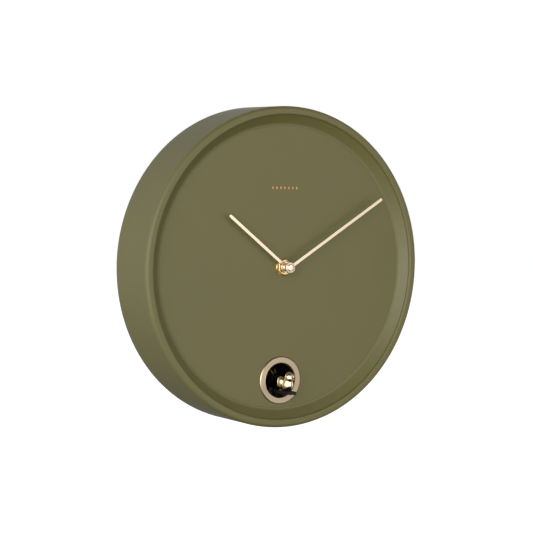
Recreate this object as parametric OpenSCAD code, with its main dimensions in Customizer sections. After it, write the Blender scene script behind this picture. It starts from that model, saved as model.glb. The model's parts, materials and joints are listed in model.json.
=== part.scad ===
// Round wall clock with a pop-out bird. Millimetres.
// Every module is drawn with the clock lying on its back: X to the viewer's right, Y up the dial,
// Z out of the wall, and the hands' axis at X = Y = 0. stand() then hangs it up: +Z up, front to -Y,
// with the origin where the nail's shank meets the wall.

/* [Case] */
// Radius of the drum
case_r = 150; // [150:1:200]
// Depth from the wall to the front of the rim
case_depth = 57; // [57:0.5:80]
// Thickness of the drum's side wall
wall_t = 2.5; // [2:0.1:3.2]
// Width of the rounded rim
rim_w = 8.2; // [7.5:0.1:9]
// Radius of the rim's outer rounding
rim_round = 3.5; // [3:0.1:4]
// Width of the sloped band between the rim and the dial
slope_w = 9.8; // [9:0.1:14]
// Depth of the dial behind the front of the rim
dial_recess = 9; // [8.5:0.1:12]
// Thickness of the dial
dial_t = 2.5; // [2:0.1:3]

/* [Hands] */
// Length of the minute hand from its axis
minute_len = 122.5; // [90:0.5:126]
// Length of the hour hand from its axis
hour_len = 79.5; // [60:0.5:90]
// Width of both hands
hand_w = 2.9; // [2.2:0.1:4]
// Thickness of both hands
hand_t = 0.6; // [0.4:0.1:0.8]
// Where the minute hand points, in degrees clockwise from twelve
minute_at = 57.5; // [0:0.5:360]
// Where the hour hand points, in degrees clockwise from twelve
hour_at = 307; // [0:0.5:360]

/* [Bird hole] */
// Distance of the bird's hole below the hands' axis
hole_down = 106.4; // [104:0.2:110]
// Radius of the opening inside the ring
ring_inner_r = 16; // [15.5:0.1:17.5]
// Outer radius of the ring
ring_outer_r = 22.4; // [21.5:0.1:24]
// Height of the ring over the dial
ring_proud = 1.5; // [1:0.1:2.5]
// How far the bird travels
bird_travel = 26; // [20:0.5:26]

/* [Clock movement] */
// Side of the square movement
movement_w = 56; // [56:0.5:62]
// Thickness of the movement
movement_t = 17; // [17:0.1:20]
// Radius of the threaded bushing
bushing_r = 5; // [4.6:0.1:5.6]
// Outer radius of the hour wheel's tube
hour_tube_r = 2.5; // [2.3:0.05:2.7]
// Radius of the minute arbor
arbor_r = 1.6; // [1.4:0.05:1.7]
// Nut size across its flats
nut_af = 13.8; // [13:0.1:16]

/* [Back] */
// Thickness of the back cover
cover_t = 2.5; // [2:0.1:3]
// How far the cover lies inside the drum's rear edge
cover_inset = 2; // [2:0.1:3]
// Height of the hanging slot above the hands' axis
hang_up = 116; // [112:0.5:120]
// Radius of a battery cell
cell_r = 7.25; // [7:0.05:7.25]
// Length of a battery cell
cell_len = 50.5; // [48:0.1:50.5]

/* [Hidden] */
$fn = 96;
ease = 0.05;            // radial clearance of a running fit
gap = 0.3;              // clearance between moulded pieces
cut = 1;                // how far a cutter runs past a face
plate_t = 1.2;          // wall of a small moulding

// Levels, measured from the wall
dial_z = case_depth - dial_recess;
dial_back = dial_z - dial_t;
cover_front = cover_inset + cover_t;
rim_inner_r = case_r - rim_w;
dial_r = rim_inner_r - slope_w;
rim_drop = 2.2;         // the step from the rim's crest to the top of the slope
cavity_r = case_r - wall_t;

// Screws that hold the cover
ledge = [2.5, 1.5];     // width and thickness of the ledge that the dial is glued to
boss_r = 4;
boss_space = 0.5;       // between the bosses and the ledge
cover_screw_pcr = dial_r - ledge[0] - boss_space - boss_r;
cover_screws = [for (i = [0:5]) cover_screw_pcr * [cos(60 * i), sin(60 * i)]];
screw_r = 1.4;
screw_hole_r = screw_r + 0.1;
screw_head_r = 2.8;
screw_head_t = 1.6;

module stand() translate([0, 0, -hang_up]) rotate([90, 0, 0]) children();
module at(p, z = 0) translate([p[0], p[1], z]) children();
module disc(r, z0, z1) translate([0, 0, z0]) cylinder(r = r, h = z1 - z0);
module block(x, y, z) translate([x[0], y[0], z[0]]) cube([x[1] - x[0], y[1] - y[0], z[1] - z[0]]);
module tube_z(r1, r0, z0, z1) difference() {
    disc(r1, z0, z1);
    disc(r0, z0 - cut, z1 + cut);
}
// A cylinder along X between two places
module disc_x(r, x0, x1) translate([x0, 0, 0]) rotate([0, 90, 0]) cylinder(r = r, h = x1 - x0);
// A pan-head screw standing on z = 0: its shank goes up, its head hangs below
module pan_screw(r, len, head_r, head_t) difference() {
    union() {
        disc(r, -head_t / 2, len);
        disc(head_r, -head_t, 0);
    }
    for (a = [0, 90]) rotate(a) translate([-head_r * 0.6, -head_t * 0.15, -head_t - cut])
        cube([head_r * 1.2, head_t * 0.3, cut + head_t * 0.5]);
}

// ---------------------------------------------------------------- gears
gear_add = 0.85;        // addendum, in modules
gear_ded = 1.15;        // dedendum, in modules
gear_fill = 0.42;       // tooth's share of the pitch, the rest is backlash

// Outline of a spur gear; the first tooth points at angle turn
function gear_outline(m, n, turn) = [
    for (i = [0:n - 1], k = [0:5])
        let (
            half = 180 / n * gear_fill,
            r = m * n / 2 + m * (k == 0 || k == 5 ? -gear_ded : k == 1 || k == 4 ? 0 : gear_add),
            side = k < 3 ? -1 : 1,
            share = k == 2 || k == 3 ? 0.42 : 1,
            a = turn + i * 360 / n + side * half * share
        ) r * [cos(a), sin(a)]
];
// Turn that puts gear 2 in mesh with gear 1, where gear 2 lies in direction to from gear 1
function mesh_turn(to, turn1, n1, n2) = to + 180 - 180 / n2 + (to - turn1) * n1 / n2;
module gear(m, n, z0, z1, turn = 0) translate([0, 0, z0]) linear_extrude(z1 - z0)
    polygon(gear_outline(m, n, turn));
// The same gear with its axis along X, drawn in the plane of Y and Z
module gear_x(m, n, x0, x1, turn = 0) translate([x0, 0, 0]) rotate([90, 0, 90])
    linear_extrude(x1 - x0) polygon(gear_outline(m, n, turn));

// ---------------------------------------------------------------- case
dial_fit = 0.1;         // clearance round the dial
module case_profile() {
    difference() {
        union() {
            polygon([[dial_r - ledge[0], 0], [dial_r - ledge[0], dial_back], [dial_r, dial_back],
                [dial_r, dial_z],
                [rim_inner_r - 0.4, case_depth - rim_drop - 0.3],
                [rim_inner_r, case_depth - rim_drop - 0.3],
                [rim_inner_r, case_depth - rim_drop], [rim_inner_r + rim_drop, case_depth],
                [case_r - rim_round, case_depth], [case_r, case_depth - rim_round],
                [case_r, 0]]);
            intersection() {
                translate([case_r - rim_round, case_depth - rim_round]) circle(rim_round);
                translate([case_r - rim_round, case_depth - rim_round]) square(rim_round);
            }
            intersection() {
                translate([rim_inner_r + rim_drop, case_depth - rim_drop]) circle(rim_drop);
                translate([rim_inner_r, case_depth - rim_drop]) square(rim_drop);
            }
        }
        // The hollow behind: drum, rim, slope and ledge keep their wall
        polygon([[dial_r - ledge[0] - cut, -cut], [cavity_r, -cut],
            [cavity_r, case_depth - rim_round - wall_t / 2],
            [cavity_r - wall_t / 2, case_depth - rim_round],
            [rim_inner_r + rim_drop + 0.4, case_depth - rim_round],
            [rim_inner_r + 1.5, case_depth - rim_round - wall_t / 2 - 0.4],
            [dial_r + plate_t, dial_back], [dial_r + plate_t, dial_back - ledge[1]],
            [dial_r - ledge[0] - cut, dial_back - ledge[1]]]);
    }
}
module case_shell() color([0.36, 0.35, 0.22]) rotate_extrude($fn = 180) case_profile();
ring_sleeve_t = 1.4;
hole_r = ring_inner_r + ring_sleeve_t + 0.1;
module_bosses = [[-29, -hole_down + 18], [29, -hole_down + 18], [-29, -hole_down - 15.5]];
module_boss_r = 3.4;
module_boss_len = 6;
// The dial lies on the drum's ledge, and carries the bosses of the cover and of the bird module
module dial() color([0.36, 0.35, 0.22]) difference() {
    union() {
        disc(dial_r - dial_fit, dial_back, dial_z);
        for (p = cover_screws) at(p) disc(boss_r, cover_front, dial_back + dial_t / 2);
        for (p = module_bosses) at(p)
            disc(module_boss_r, dial_back - module_boss_len, dial_back + dial_t / 2);
    }
    disc(bushing_r + 0.15, dial_back - cut, dial_z + cut);
    translate([0, -hole_down]) disc(hole_r, dial_back - cut, dial_z + cut);
    for (p = cover_screws) at(p) disc(screw_hole_r, cover_front - cut, cover_front + 12);
    for (p = module_bosses) at(p)
        disc(screw_hole_r, dial_back - module_boss_len - cut, dial_back - 0.5);
}

ring_bevel = 0.9;
module bird_ring() color([0.8, 0.7, 0.55]) translate([0, -hole_down, dial_z])
    rotate_extrude() polygon([
        [ring_inner_r, -dial_t], [ring_inner_r + ring_sleeve_t, -dial_t],
        [ring_inner_r + ring_sleeve_t, 0], [ring_outer_r, 0], [ring_outer_r, ring_proud - ring_bevel],
        [ring_outer_r - ring_bevel, ring_proud], [ring_inner_r + 0.7, ring_proud],
        [ring_inner_r, ring_proud - 0.7]]);

motif_up = 74;          // height of the mark above the hands' axis
motif_step = 4.4;
motif_h = 3.4;
motif_t = 0.15;
module dial_motif() color([0.75, 0.45, 0.28])
    for (i = [-3:3]) translate([i * motif_step, motif_up, dial_z]) linear_extrude(motif_t)
        polygon([[-0.9, 0], [0, -motif_h / 2], [0.9, 0], [0, motif_h / 2]]);

// ---------------------------------------------------------------- hands and their stack
washer_t = 0.6;
nut_t = 3.8;
nut_top = dial_z + washer_t + nut_t;
bushing_top = nut_top + 0.4;
hour_collet = [bushing_top + gap, bushing_top + gap + 1.7];
hour_hub_top = hour_collet[1] + 1.9;
minute_hub = hour_hub_top + 0.9;
minute_collet = [minute_hub + 2.3, minute_hub + 3.9];
cap_top = minute_collet[1] + 1.8;
arbor_tip = cap_top - 0.5;
collet_r = 5.5;
minute_collet_r = 5.1;
hub_r = 3.6;
cap_r = 3.4;
arbor_tip_r = 1.1;

module hand_blade(len, at_deg, z) rotate(-at_deg) translate([0, 0, z]) linear_extrude(hand_t) union() {
    translate([-hand_w / 2, 0]) square([hand_w, len - hand_w / 2]);
    translate([0, len - hand_w / 2]) circle(hand_w / 2);
}
module hour_hand() color([0.92, 0.82, 0.68]) difference() {
    union() {
        hand_blade(hour_len, hour_at, hour_collet[1] - hand_t - 0.2);
        disc(collet_r, hour_collet[0], hour_collet[1]);
        disc(hub_r, hour_collet[1] - 0.1, hour_hub_top);
    }
    disc(hour_tube_r, hour_collet[0] - cut, hour_hub_top + cut);
}
module minute_hand() color([0.92, 0.82, 0.68]) difference() {
    union() {
        hand_blade(minute_len, minute_at, minute_collet[0] + 0.3);
        disc(hub_r, minute_hub, minute_collet[0] + 0.1);
        disc(minute_collet_r, minute_collet[0], minute_collet[1]);
    }
    disc(arbor_r, minute_hub - cut, minute_collet[1] + cut);
}
module hand_cap() color([0.95, 0.85, 0.68]) difference() {
    union() {
        disc(cap_r, minute_collet[1], cap_top - 0.6);
        translate([0, 0, cap_top - 0.6]) cylinder(r1 = cap_r, r2 = cap_r - 0.6, h = 0.6);
    }
    disc(arbor_tip_r, minute_collet[1] - cut, arbor_tip);
}
module movement_nut() color([0.85, 0.65, 0.3]) difference() {
    rotate(30) translate([0, 0, dial_z + washer_t]) cylinder(r = nut_af / 2 / cos(30), h = nut_t, $fn = 6);
    disc(bushing_r, dial_z, nut_top + cut);
}
washer_r = nut_af / 2 + 0.6;
module movement_washer() color([0.8, 0.62, 0.3])
    tube_z(washer_r, bushing_r + 0.1, dial_z, dial_z + washer_t);
gasket_t = 1;
module movement_gasket() color([0.1, 0.1, 0.1])
    tube_z(11, bushing_r + 0.15, dial_back - gasket_t, dial_back);

// ---------------------------------------------------------------- clock movement
mv_front = dial_back - gasket_t;
mv_back = mv_front - movement_t;
mv_in = [mv_back + plate_t, mv_front - plate_t];    // the cavity's depth
mv_x = movement_w / 2;
mv_y1 = 18;
mv_y0 = mv_y1 - movement_w;
bay_y = mv_y0 + plate_t + 2 * cell_r + 0.8;         // the gears' side of the battery bay's wall
pivot_r = 0.6;
pivot_in = 0.7;                                     // how far a pivot stands in its hole

// Wheel trains: module, tooth counts
motion_m = 0.35;
cannon_n = 12;
minute_n = 36;
motion_a = motion_m * (cannon_n + minute_n) / 2;
minute_pin_n = 10;
hour_n = 40;
hour_m = 2 * motion_a / (minute_pin_n + hour_n);
train_m = 0.22;
centre_n = 64;
third_pin_n = 8;
third_n = 60;
second_pin_n = 8;
fast_m = 0.18;
second_n = 60;
inter_pin_n = 10;
inter_n = 50;
rotor_n = 10;
// Directions from one arbor to the next, and their places
minute_dir = 270;
third_dir = 160;
second_dir = 200;
inter_dir = 290;
rotor_dir = 300;
function polar(r, a) = r * [cos(a), sin(a)];
minute_at_xy = polar(motion_a, minute_dir);
third_xy = polar(train_m * (centre_n + third_pin_n) / 2, third_dir);
second_xy = third_xy + polar(train_m * (third_n + second_pin_n) / 2, second_dir);
inter_xy = second_xy + polar(fast_m * (second_n + inter_pin_n) / 2, inter_dir);
rotor_xy = inter_xy + polar(fast_m * (inter_n + rotor_n) / 2, rotor_dir);
// Turns that put every pair in mesh
minute_turn = mesh_turn(minute_dir, 0, cannon_n, minute_n);
hour_turn = mesh_turn(minute_dir + 180, 0, minute_pin_n, hour_n);
third_pin_turn = mesh_turn(third_dir, 0, centre_n, third_pin_n);
second_pin_turn = mesh_turn(second_dir, 0, third_n, second_pin_n);
inter_pin_turn = mesh_turn(inter_dir, 0, second_n, inter_pin_n);
rotor_turn = mesh_turn(rotor_dir, 0, inter_n, rotor_n);
// Levels of the wheels, counted back from the front of the cavity
lv_hour = mv_in[1] - 1.9;
lv_minute = mv_in[1] - 4.1;
lv_centre = mv_in[1] - 6.5;
lv_third = mv_in[1] - 8.7;
lv_second = mv_in[1] - 10.9;
lv_inter = mv_in[1] - 6.9;
wheel_t = 1.1;

module pivots(xy, z0, z1) at(xy) disc(pivot_r, z0, z1);
module movement_case() color([0.13, 0.13, 0.14]) difference() {
    union() {
        difference() {
            block([-mv_x, mv_x], [mv_y0, mv_y1], [mv_back + 2.5, mv_front]);
            block([-mv_x + plate_t, mv_x - plate_t], [bay_y + plate_t, mv_y1 - plate_t], [0, mv_in[1]]);
            block([-mv_x + plate_t, mv_x - plate_t], [mv_y0 + plate_t, bay_y], [0, mv_in[1]]);
        }
        disc(bushing_r, mv_in[1], bushing_top);
    }
    disc(hour_tube_r + ease, mv_in[1] - cut, bushing_top + cut);
    for (p = [third_xy, second_xy, inter_xy, rotor_xy, minute_at_xy])
        at(p) disc(pivot_r + ease, mv_in[1] - cut, mv_in[1] + pivot_in + 0.1);
}
knob_shaft_r = 1;
module movement_cover() color([0.16, 0.16, 0.17]) difference() {
    union() {
        block([-mv_x, mv_x], [bay_y, mv_y1], [mv_back, mv_in[0]]);
        difference() {
            block([-mv_x, mv_x], [bay_y, mv_y1], [mv_in[0], mv_back + 2.5]);
            block([-mv_x + plate_t, mv_x - plate_t], [bay_y + plate_t, mv_y1 - plate_t],
                [mv_in[0] - 0.1, mv_in[0] + 5]);
        }
    }
    for (p = [third_xy, second_xy, inter_xy, rotor_xy, [0, 0]])
        at(p) disc(pivot_r + ease, mv_in[0] - pivot_in - 0.1, mv_in[0] + cut);
    at(minute_at_xy) disc(knob_shaft_r + ease, mv_back - cut, mv_in[0] + cut);
}
module minute_arbor() color([0.75, 0.6, 0.3]) union() {
    disc(pivot_r, mv_in[0] - pivot_in, lv_centre - 1);
    disc(1.9, lv_centre - 0.9, lv_centre - 0.15);
    disc(1.2, lv_centre - 1.2, lv_centre + wheel_t + 0.2);
    gear(motion_m, cannon_n, lv_centre + wheel_t + 0.1, lv_minute + wheel_t + 0.3);
    disc(arbor_r, lv_minute, minute_collet[1]);
    disc(arbor_tip_r, minute_collet[1] - 0.1, arbor_tip);
}
module centre_wheel() color([0.93, 0.9, 0.84]) difference() {
    gear(train_m, centre_n, lv_centre, lv_centre + wheel_t);
    disc(1.2 + ease, 0, case_depth);
}
// A wheel with a pinion in front of it, on its own arbor
module train_wheel(m, n, turn, z, pin_m, pin_n, pin_turn, pin_z0, pin_z1) union() {
    gear(m, n, z, z + wheel_t, turn);
    gear(pin_m, pin_n, pin_z0, pin_z1, pin_turn);
    disc(pivot_r, mv_in[0] - pivot_in, mv_in[1] + pivot_in);
}
module third_wheel() color([0.93, 0.9, 0.84]) at(third_xy)
    train_wheel(train_m, third_n, 0, lv_third, train_m, third_pin_n, third_pin_turn,
        lv_third + wheel_t, lv_centre + wheel_t + 0.2);
module second_wheel() color([0.85, 0.3, 0.2]) at(second_xy)
    train_wheel(fast_m, second_n, 0, lv_second, train_m, second_pin_n, second_pin_turn,
        lv_second + wheel_t, lv_third + wheel_t + 0.2);
module intermediate_wheel() color([0.93, 0.9, 0.84]) at(inter_xy)
    train_wheel(fast_m, inter_n, 0, lv_inter, fast_m, inter_pin_n, inter_pin_turn,
        lv_second - 0.2, lv_inter);
rotor_mag_r = 2.6;
module rotor() color([0.3, 0.3, 0.33]) at(rotor_xy) union() {
    gear(fast_m, rotor_n, lv_inter - 0.3, lv_inter + wheel_t + 0.2, rotor_turn);
    disc(rotor_mag_r, mv_in[0] + 1, mv_in[0] + 5);
    disc(pivot_r, mv_in[0] - pivot_in, mv_in[1] + pivot_in);
}
module minute_wheel() color([0.93, 0.9, 0.84]) at(minute_at_xy) union() {
    gear(motion_m, minute_n, lv_minute, lv_minute + wheel_t, minute_turn);
    gear(hour_m, minute_pin_n, lv_minute + wheel_t, lv_hour + wheel_t + 0.2, 0);
    disc(pivot_r, lv_hour, mv_in[1] + pivot_in);
    disc(knob_shaft_r, knob_z - 2, lv_minute + 0.1);
}
module hour_wheel() color([0.93, 0.9, 0.84]) difference() {
    union() {
        gear(hour_m, hour_n, lv_hour, lv_hour + wheel_t, hour_turn);
        disc(hour_tube_r, lv_hour, hour_hub_top);
    }
    disc(arbor_r + ease, lv_hour - cut, hour_hub_top + cut);
}
knob_z = mv_back - 2;
knob_r = 7;
knob_t = 4.5;
module setting_knob() color([0.12, 0.12, 0.12]) at(minute_at_xy) difference() {
    union() {
        disc(knob_r, knob_z - knob_t, knob_z);
        disc(2.6, knob_z, mv_back - gap);
    }
    disc(knob_shaft_r, knob_z - 2, mv_back);
    for (a = [0:20:340]) rotate(a) translate([knob_r, 0]) disc(0.7, knob_z - knob_t - cut, knob_z + cut);
}
// Stator plates, the coil on its long arm, and the board
coil_x = [4, 20];
stator_y = rotor_xy[1];
stator_z = mv_in[0] + 2.9;
stator_hole_r = rotor_mag_r + 0.4;
stator_rim = 1.2;
stator_arm = [2.4, 1.2];
module stator() color([0.6, 0.6, 0.62]) difference() {
    union() {
        at(rotor_xy) disc(stator_hole_r + stator_rim, stator_z, stator_z + stator_arm[1]);
        block([rotor_xy[0] + stator_hole_r + stator_rim / 2, coil_x[1] + 3],
            [stator_y - stator_arm[0] / 2, stator_y + stator_arm[0] / 2],
            [stator_z, stator_z + stator_arm[1]]);
    }
    at(rotor_xy) disc(stator_hole_r, 0, case_depth);
    at(minute_at_xy) disc(knob_shaft_r + 0.4, 0, case_depth);
}
coil_drop = 2.9;
module coil_place() translate([0, stator_y, stator_z + stator_arm[1] / 2]) children();
module coil_slot() block([coil_x[0] - 2, coil_x[1] + 2], [-stator_arm[0] / 2, stator_arm[0] / 2],
    [-stator_arm[1] / 2, stator_arm[1] / 2]);
module coil_bobbin() color([0.2, 0.45, 0.3]) coil_place() difference() {
    union() {
        disc_x(1.7, coil_x[0], coil_x[1]);
        for (x = [coil_x[0], coil_x[1] - 0.8]) disc_x(coil_drop + 0.2, x, x + 0.8);
    }
    coil_slot();
}
module coil_winding() color([0.72, 0.38, 0.2]) coil_place() difference() {
    disc_x(coil_drop, coil_x[0] + 0.8, coil_x[1] - 0.8);
    disc_x(1.7, coil_x[0], coil_x[1]);
}
module circuit_board() color([0.1, 0.35, 0.2]) union() {
    block([11, mv_x - plate_t - 0.2], [-6, 14], [mv_in[1] - 2.4, mv_in[1] - 1.6]);
    at([18, 7]) disc(3.2, mv_in[1] - 3.8, mv_in[1] - 2.4);
    block([13, 23], [-4, -1], [mv_in[1] - 4.9, mv_in[1] - 2.4]);
}
mv_cell_y = (mv_y0 + plate_t + bay_y) / 2;
mv_cell_z = mv_in[1] - cell_r - 0.3;
module cell(x0) union() {
    disc_x(cell_r, x0, x0 + cell_len - 1.5);
    disc_x(2.7, x0 + cell_len - 1.6, x0 + cell_len);
}
module movement_battery() color([0.75, 0.76, 0.78])
    translate([0, mv_cell_y, mv_cell_z]) cell(-cell_len / 2);
contact_t = 0.4;
module contact_pair(x0, x1, y, z) for (s = [[x0, 1], [x1, -1]])
    translate([s[0], y, z]) union() {
        block(s[1] > 0 ? [0, contact_t] : [-contact_t, 0], [-5, 5], [-5, 5]);
        disc_x(2.2, s[1] > 0 ? 0 : -contact_room, s[1] > 0 ? contact_room : 0);
    }
contact_room = (movement_w - 2 * plate_t - cell_len) / 2;
module movement_contacts() color([0.8, 0.8, 0.82])
    contact_pair(-mv_x + plate_t, mv_x - plate_t, mv_cell_y, mv_cell_z);

// ---------------------------------------------------------------- bird module
perch_y = -hole_down - 8.8;         // top of the perch
perch_t = 2.2;
perch_w = 10;
perch_tip = dial_z + bird_travel;      // level with the dial when the bird is in
perch_rear = dial_z - 15;
perch_nose = 7;
rack_m = 0.8;
rack_n = 12;
rack_w = 3;
rack_pitch_y = perch_y - perch_t - gear_ded * rack_m;
pinion_y = rack_pitch_y - rack_m * rack_n / 2;
pinion_z = dial_z - 12;
rack_pitch = PI * rack_m;
rack_teeth = ceil(bird_travel / rack_pitch) + 1;
ear_w = 3.2;
module perch_carriage() color([0.05, 0.05, 0.05]) union() {
    difference() {
        union() {
            translate([0, perch_y, 0]) rotate([90, 0, 0]) linear_extrude(perch_t) polygon([
                [-perch_w / 2, perch_rear], [perch_w / 2, perch_rear],
                [perch_w / 2, perch_tip - perch_nose], [perch_w / 2 - 1.6, perch_tip - 2.2],
                [1.6, perch_tip], [-1.6, perch_tip],
                [-perch_w / 2 + 1.6, perch_tip - 2.2], [-perch_w / 2, perch_tip - perch_nose]]);
            block([-perch_w / 2 - ear_w, perch_w / 2 + ear_w], [perch_y - perch_t, perch_y],
                [perch_rear, perch_rear + 10]);
        }
        for (z = bird_screws_z) translate([0, perch_y - perch_t - cut, z]) rotate([-90, 0, 0])
            cylinder(r = 1.1, h = perch_t + 2 * cut);
        for (z = bird_screws_z) translate([0, perch_y - perch_t - cut, z]) rotate([-90, 0, 0])
            cylinder(r = 1.9, h = cut + 1);
    }
    // Rack teeth in two rows, clear of the screws between them
    for (i = [1:rack_teeth]) let (z = pinion_z + (i - 1.5) * rack_pitch)
        for (x = [-rack_w - 1.2, 2.2]) translate([x, 0, 0]) rack_tooth(z, rack_w - 1);
}
module rack_tooth(z, w) rotate([90, 0, 90]) linear_extrude(w) polygon([
    [perch_y - perch_t + 0.2, z - rack_pitch * gear_fill * 0.75],
    [rack_pitch_y, z - rack_pitch * gear_fill / 2],
    [rack_pitch_y - gear_add * rack_m, z - rack_pitch * gear_fill * 0.2],
    [rack_pitch_y - gear_add * rack_m, z + rack_pitch * gear_fill * 0.2],
    [rack_pitch_y, z + rack_pitch * gear_fill / 2],
    [perch_y - perch_t + 0.2, z + rack_pitch * gear_fill * 0.75]]);
bird_screws_z = [perch_tip - 23.5];
module bird_screw() color([0.7, 0.7, 0.7]) for (z = bird_screws_z)
    translate([0, perch_y - perch_t, z]) rotate([-90, 0, 0]) union() {
        cylinder(r = 1.7, h = 0.9);
        cylinder(r = 1, h = perch_t + 4);
    }
// Ball of the bird at a height over the perch and a distance behind its tip
module ball(x, up, back, r) translate([x, perch_y + up, perch_tip - back]) sphere(r, $fn = 32);
module bird() color([0.9, 0.78, 0.5]) difference() {
    union() {
        hull() { ball(0, 7.4, 24.5, 6.4); ball(0, 6.2, 12.8, 5.6); ball(0, 11.6, 34, 1.8); }
        hull() { ball(0, 6.2, 12.8, 5.6); ball(0, 13, 10.6, 4.4); }
        ball(0, 13.3, 10, 4.9);
        hull() { ball(0, 12.6, 7, 2); ball(0, 11.6, 2, 0.4); }
        hull() { ball(-0.6, 11.6, 33, 1.3); ball(-2.6, 17.6, 39.2, 0.7); }
        hull() { ball(0.6, 11.6, 33, 1.3); ball(2.6, 17.6, 39.2, 0.7); }
        for (s = [-1, 1]) hull() {
            ball(s * 4.6, 8.4, 20, 3.6);
            ball(s * 4.2, 8.6, 25, 3.2);
            ball(s * 2.6, 9.6, 34, 0.8);
        }
        translate([0, perch_y, bird_screws_z[0]]) rotate([-90, 0, 0]) cylinder(r = 2.4, h = 3);
    }
    translate([0, perch_y - cut, bird_screws_z[0]]) rotate([-90, 0, 0]) cylinder(r = 1, h = cut + 4);
}
// Box behind the hole, with the carriage's rails and the gearbox's side wall
shroud_in = [19.5, 19];             // half width and half height inside
shroud_t = 2;
shroud_z = [cover_front + 0.5, dial_back - 0.2];
shroud_y = [-hole_down - shroud_in[1], -hole_down + shroud_in[1]];
rail_x = [perch_w / 2 + 1.5, perch_w / 2 + 4.6];
shaft_r = 1;
side_x = [shroud_in[0], shroud_in[0] + shroud_t];
gear_plate_x = side_x[1] + 7.2;
// The gearbox's places in the plane of Y and Z
drive_m = 0.5;
drive_n = 28;
reduce_pin_n = 10;
motor_m = 0.4;
reduce_n = 40;
motor_n = 10;
drive_yz = [pinion_y, pinion_z];
reduce_yz = drive_yz + [0, -drive_m * (drive_n + reduce_pin_n) / 2];
motor_yz = reduce_yz + [motor_m * (reduce_n + motor_n) / 2, 0];
drive_turn = 90;
reduce_pin_turn = mesh_turn(270, drive_turn, drive_n, reduce_pin_n);
reduce_turn = 0;
motor_turn = mesh_turn(0, reduce_turn, reduce_n, motor_n);
pillars = [[pinion_y + 15, dial_z - 7], [pinion_y - 11, dial_z - 8],
    [pinion_y - 11, dial_z - 34], [pinion_y + 17, dial_z - 35]];
pillar_r = 2.3;
module yz(p, x = 0) translate([x, p[0], p[1]]) children();
module bird_shroud() color([0.04, 0.04, 0.04]) difference() {
    union() {
        difference() {
            block([-side_x[1], side_x[1]], [shroud_y[0] - shroud_t, shroud_y[1] + shroud_t], shroud_z);
            block([-side_x[0], side_x[0]], shroud_y, [shroud_z[0] + 1.4, shroud_z[1] + cut]);
        }
        for (s = [-1, 1]) block(s > 0 ? rail_x : [-rail_x[1], -rail_x[0]],
            [shroud_y[0] - 0.1, perch_y + 1.8], [shroud_z[0] + 1, shroud_z[1]]);
        block(side_x, [pinion_y - 14.5, perch_y + 20], [dial_z - 38, shroud_z[1]]);
        for (p = pillars) yz(p) disc_x(pillar_r, side_x[1] - 0.1, gear_plate_x);
        for (p = module_bosses) block(
            p[0] > 0 ? [side_x[1] - 0.1, p[0] + 3.5] : [p[0] - 3.5, -side_x[1] + 0.1],
            [p[1] - 3.5, p[1] + 3.5], [dial_back - module_boss_len - 2, dial_back - module_boss_len]);
    }
    // Grooves for the carriage's ears, and the gap below them for the rack
    for (s = [-1, 1]) block(
        s > 0 ? [rail_x[0] - cut, perch_w / 2 + ear_w + 0.2] : [-perch_w / 2 - ear_w - 0.2, -rail_x[0] + cut],
        [perch_y - perch_t - 0.15, perch_y + 0.15], [shroud_z[0] + 1.4, shroud_z[1] + cut]);
    block([-rail_x[0] + 0.2, rail_x[0] - 0.2], [shroud_y[0] - shroud_t - cut, shroud_y[0] + 1],
        [pinion_z - 7, pinion_z + 7]);
    yz(drive_yz) disc_x(shaft_r + ease, -side_x[1] - cut, side_x[1] + cut);
    yz(reduce_yz) disc_x(shaft_r, side_x[0] + 0.5, side_x[1] + cut);
    for (p = pillars) yz(p) disc_x(0.9, side_x[0] + 0.5, gear_plate_x + cut);
    for (p = module_bosses) at(p) disc(screw_hole_r, 0, dial_back - module_boss_len + cut);
    // Room for the drum's ledge
    tube_z(case_r, dial_r - ledge[0] - gap, dial_back - ledge[1] - gap, dial_back);
}
drive_gear_x = [side_x[1] + 0.8, side_x[1] + 2.8];
reduce_gear_x = [side_x[1] + 3.4, side_x[1] + 5.2];
module drive_shaft() color([0.75, 0.75, 0.78]) yz(drive_yz)
    disc_x(shaft_r, -rail_x[1] - 0.5, gear_plate_x + 1.2);
module rack_pinion() color([0.9, 0.88, 0.82]) yz(drive_yz) difference() {
    gear_x(rack_m, rack_n, -rail_x[0] + 0.5, rail_x[0] - 0.5, 90);
    disc_x(shaft_r, -side_x[1], side_x[1]);
}
module drive_gear() color([0.9, 0.88, 0.82]) yz(drive_yz) difference() {
    union() {
        gear_x(drive_m, drive_n, drive_gear_x[0], drive_gear_x[1], drive_turn);
        disc_x(2.2, side_x[1] + 0.2, drive_gear_x[0] + 0.1);
    }
    disc_x(shaft_r, 0, gear_plate_x + cut);
}
module reduction_gear() color([0.93, 0.93, 0.9]) yz(reduce_yz) difference() {
    union() {
        gear_x(drive_m, reduce_pin_n, drive_gear_x[0] - 0.3, reduce_gear_x[0] + 0.1, reduce_pin_turn);
        gear_x(motor_m, reduce_n, reduce_gear_x[0], reduce_gear_x[1], reduce_turn);
    }
    disc_x(shaft_r + ease, 0, gear_plate_x + cut);
}
module reduction_pin() color([0.75, 0.75, 0.78]) yz(reduce_yz)
    disc_x(shaft_r, side_x[0] + 0.5, gear_plate_x + 1.5);
motor_r = 7.75;
motor_len = 18;
motor_shaft_r = 0.75;
gear_plate_t = 1.5;
motor_x = [gear_plate_x + gear_plate_t, gear_plate_x + gear_plate_t + motor_len];
module motor_pinion() color([0.8, 0.65, 0.35]) yz(motor_yz) union() {
    gear_x(motor_m, motor_n, reduce_gear_x[0] - 0.2, reduce_gear_x[1] + 0.3, motor_turn);
    disc_x(motor_shaft_r, reduce_gear_x[0] - 1.5, motor_x[0] + 6);
}
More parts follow.
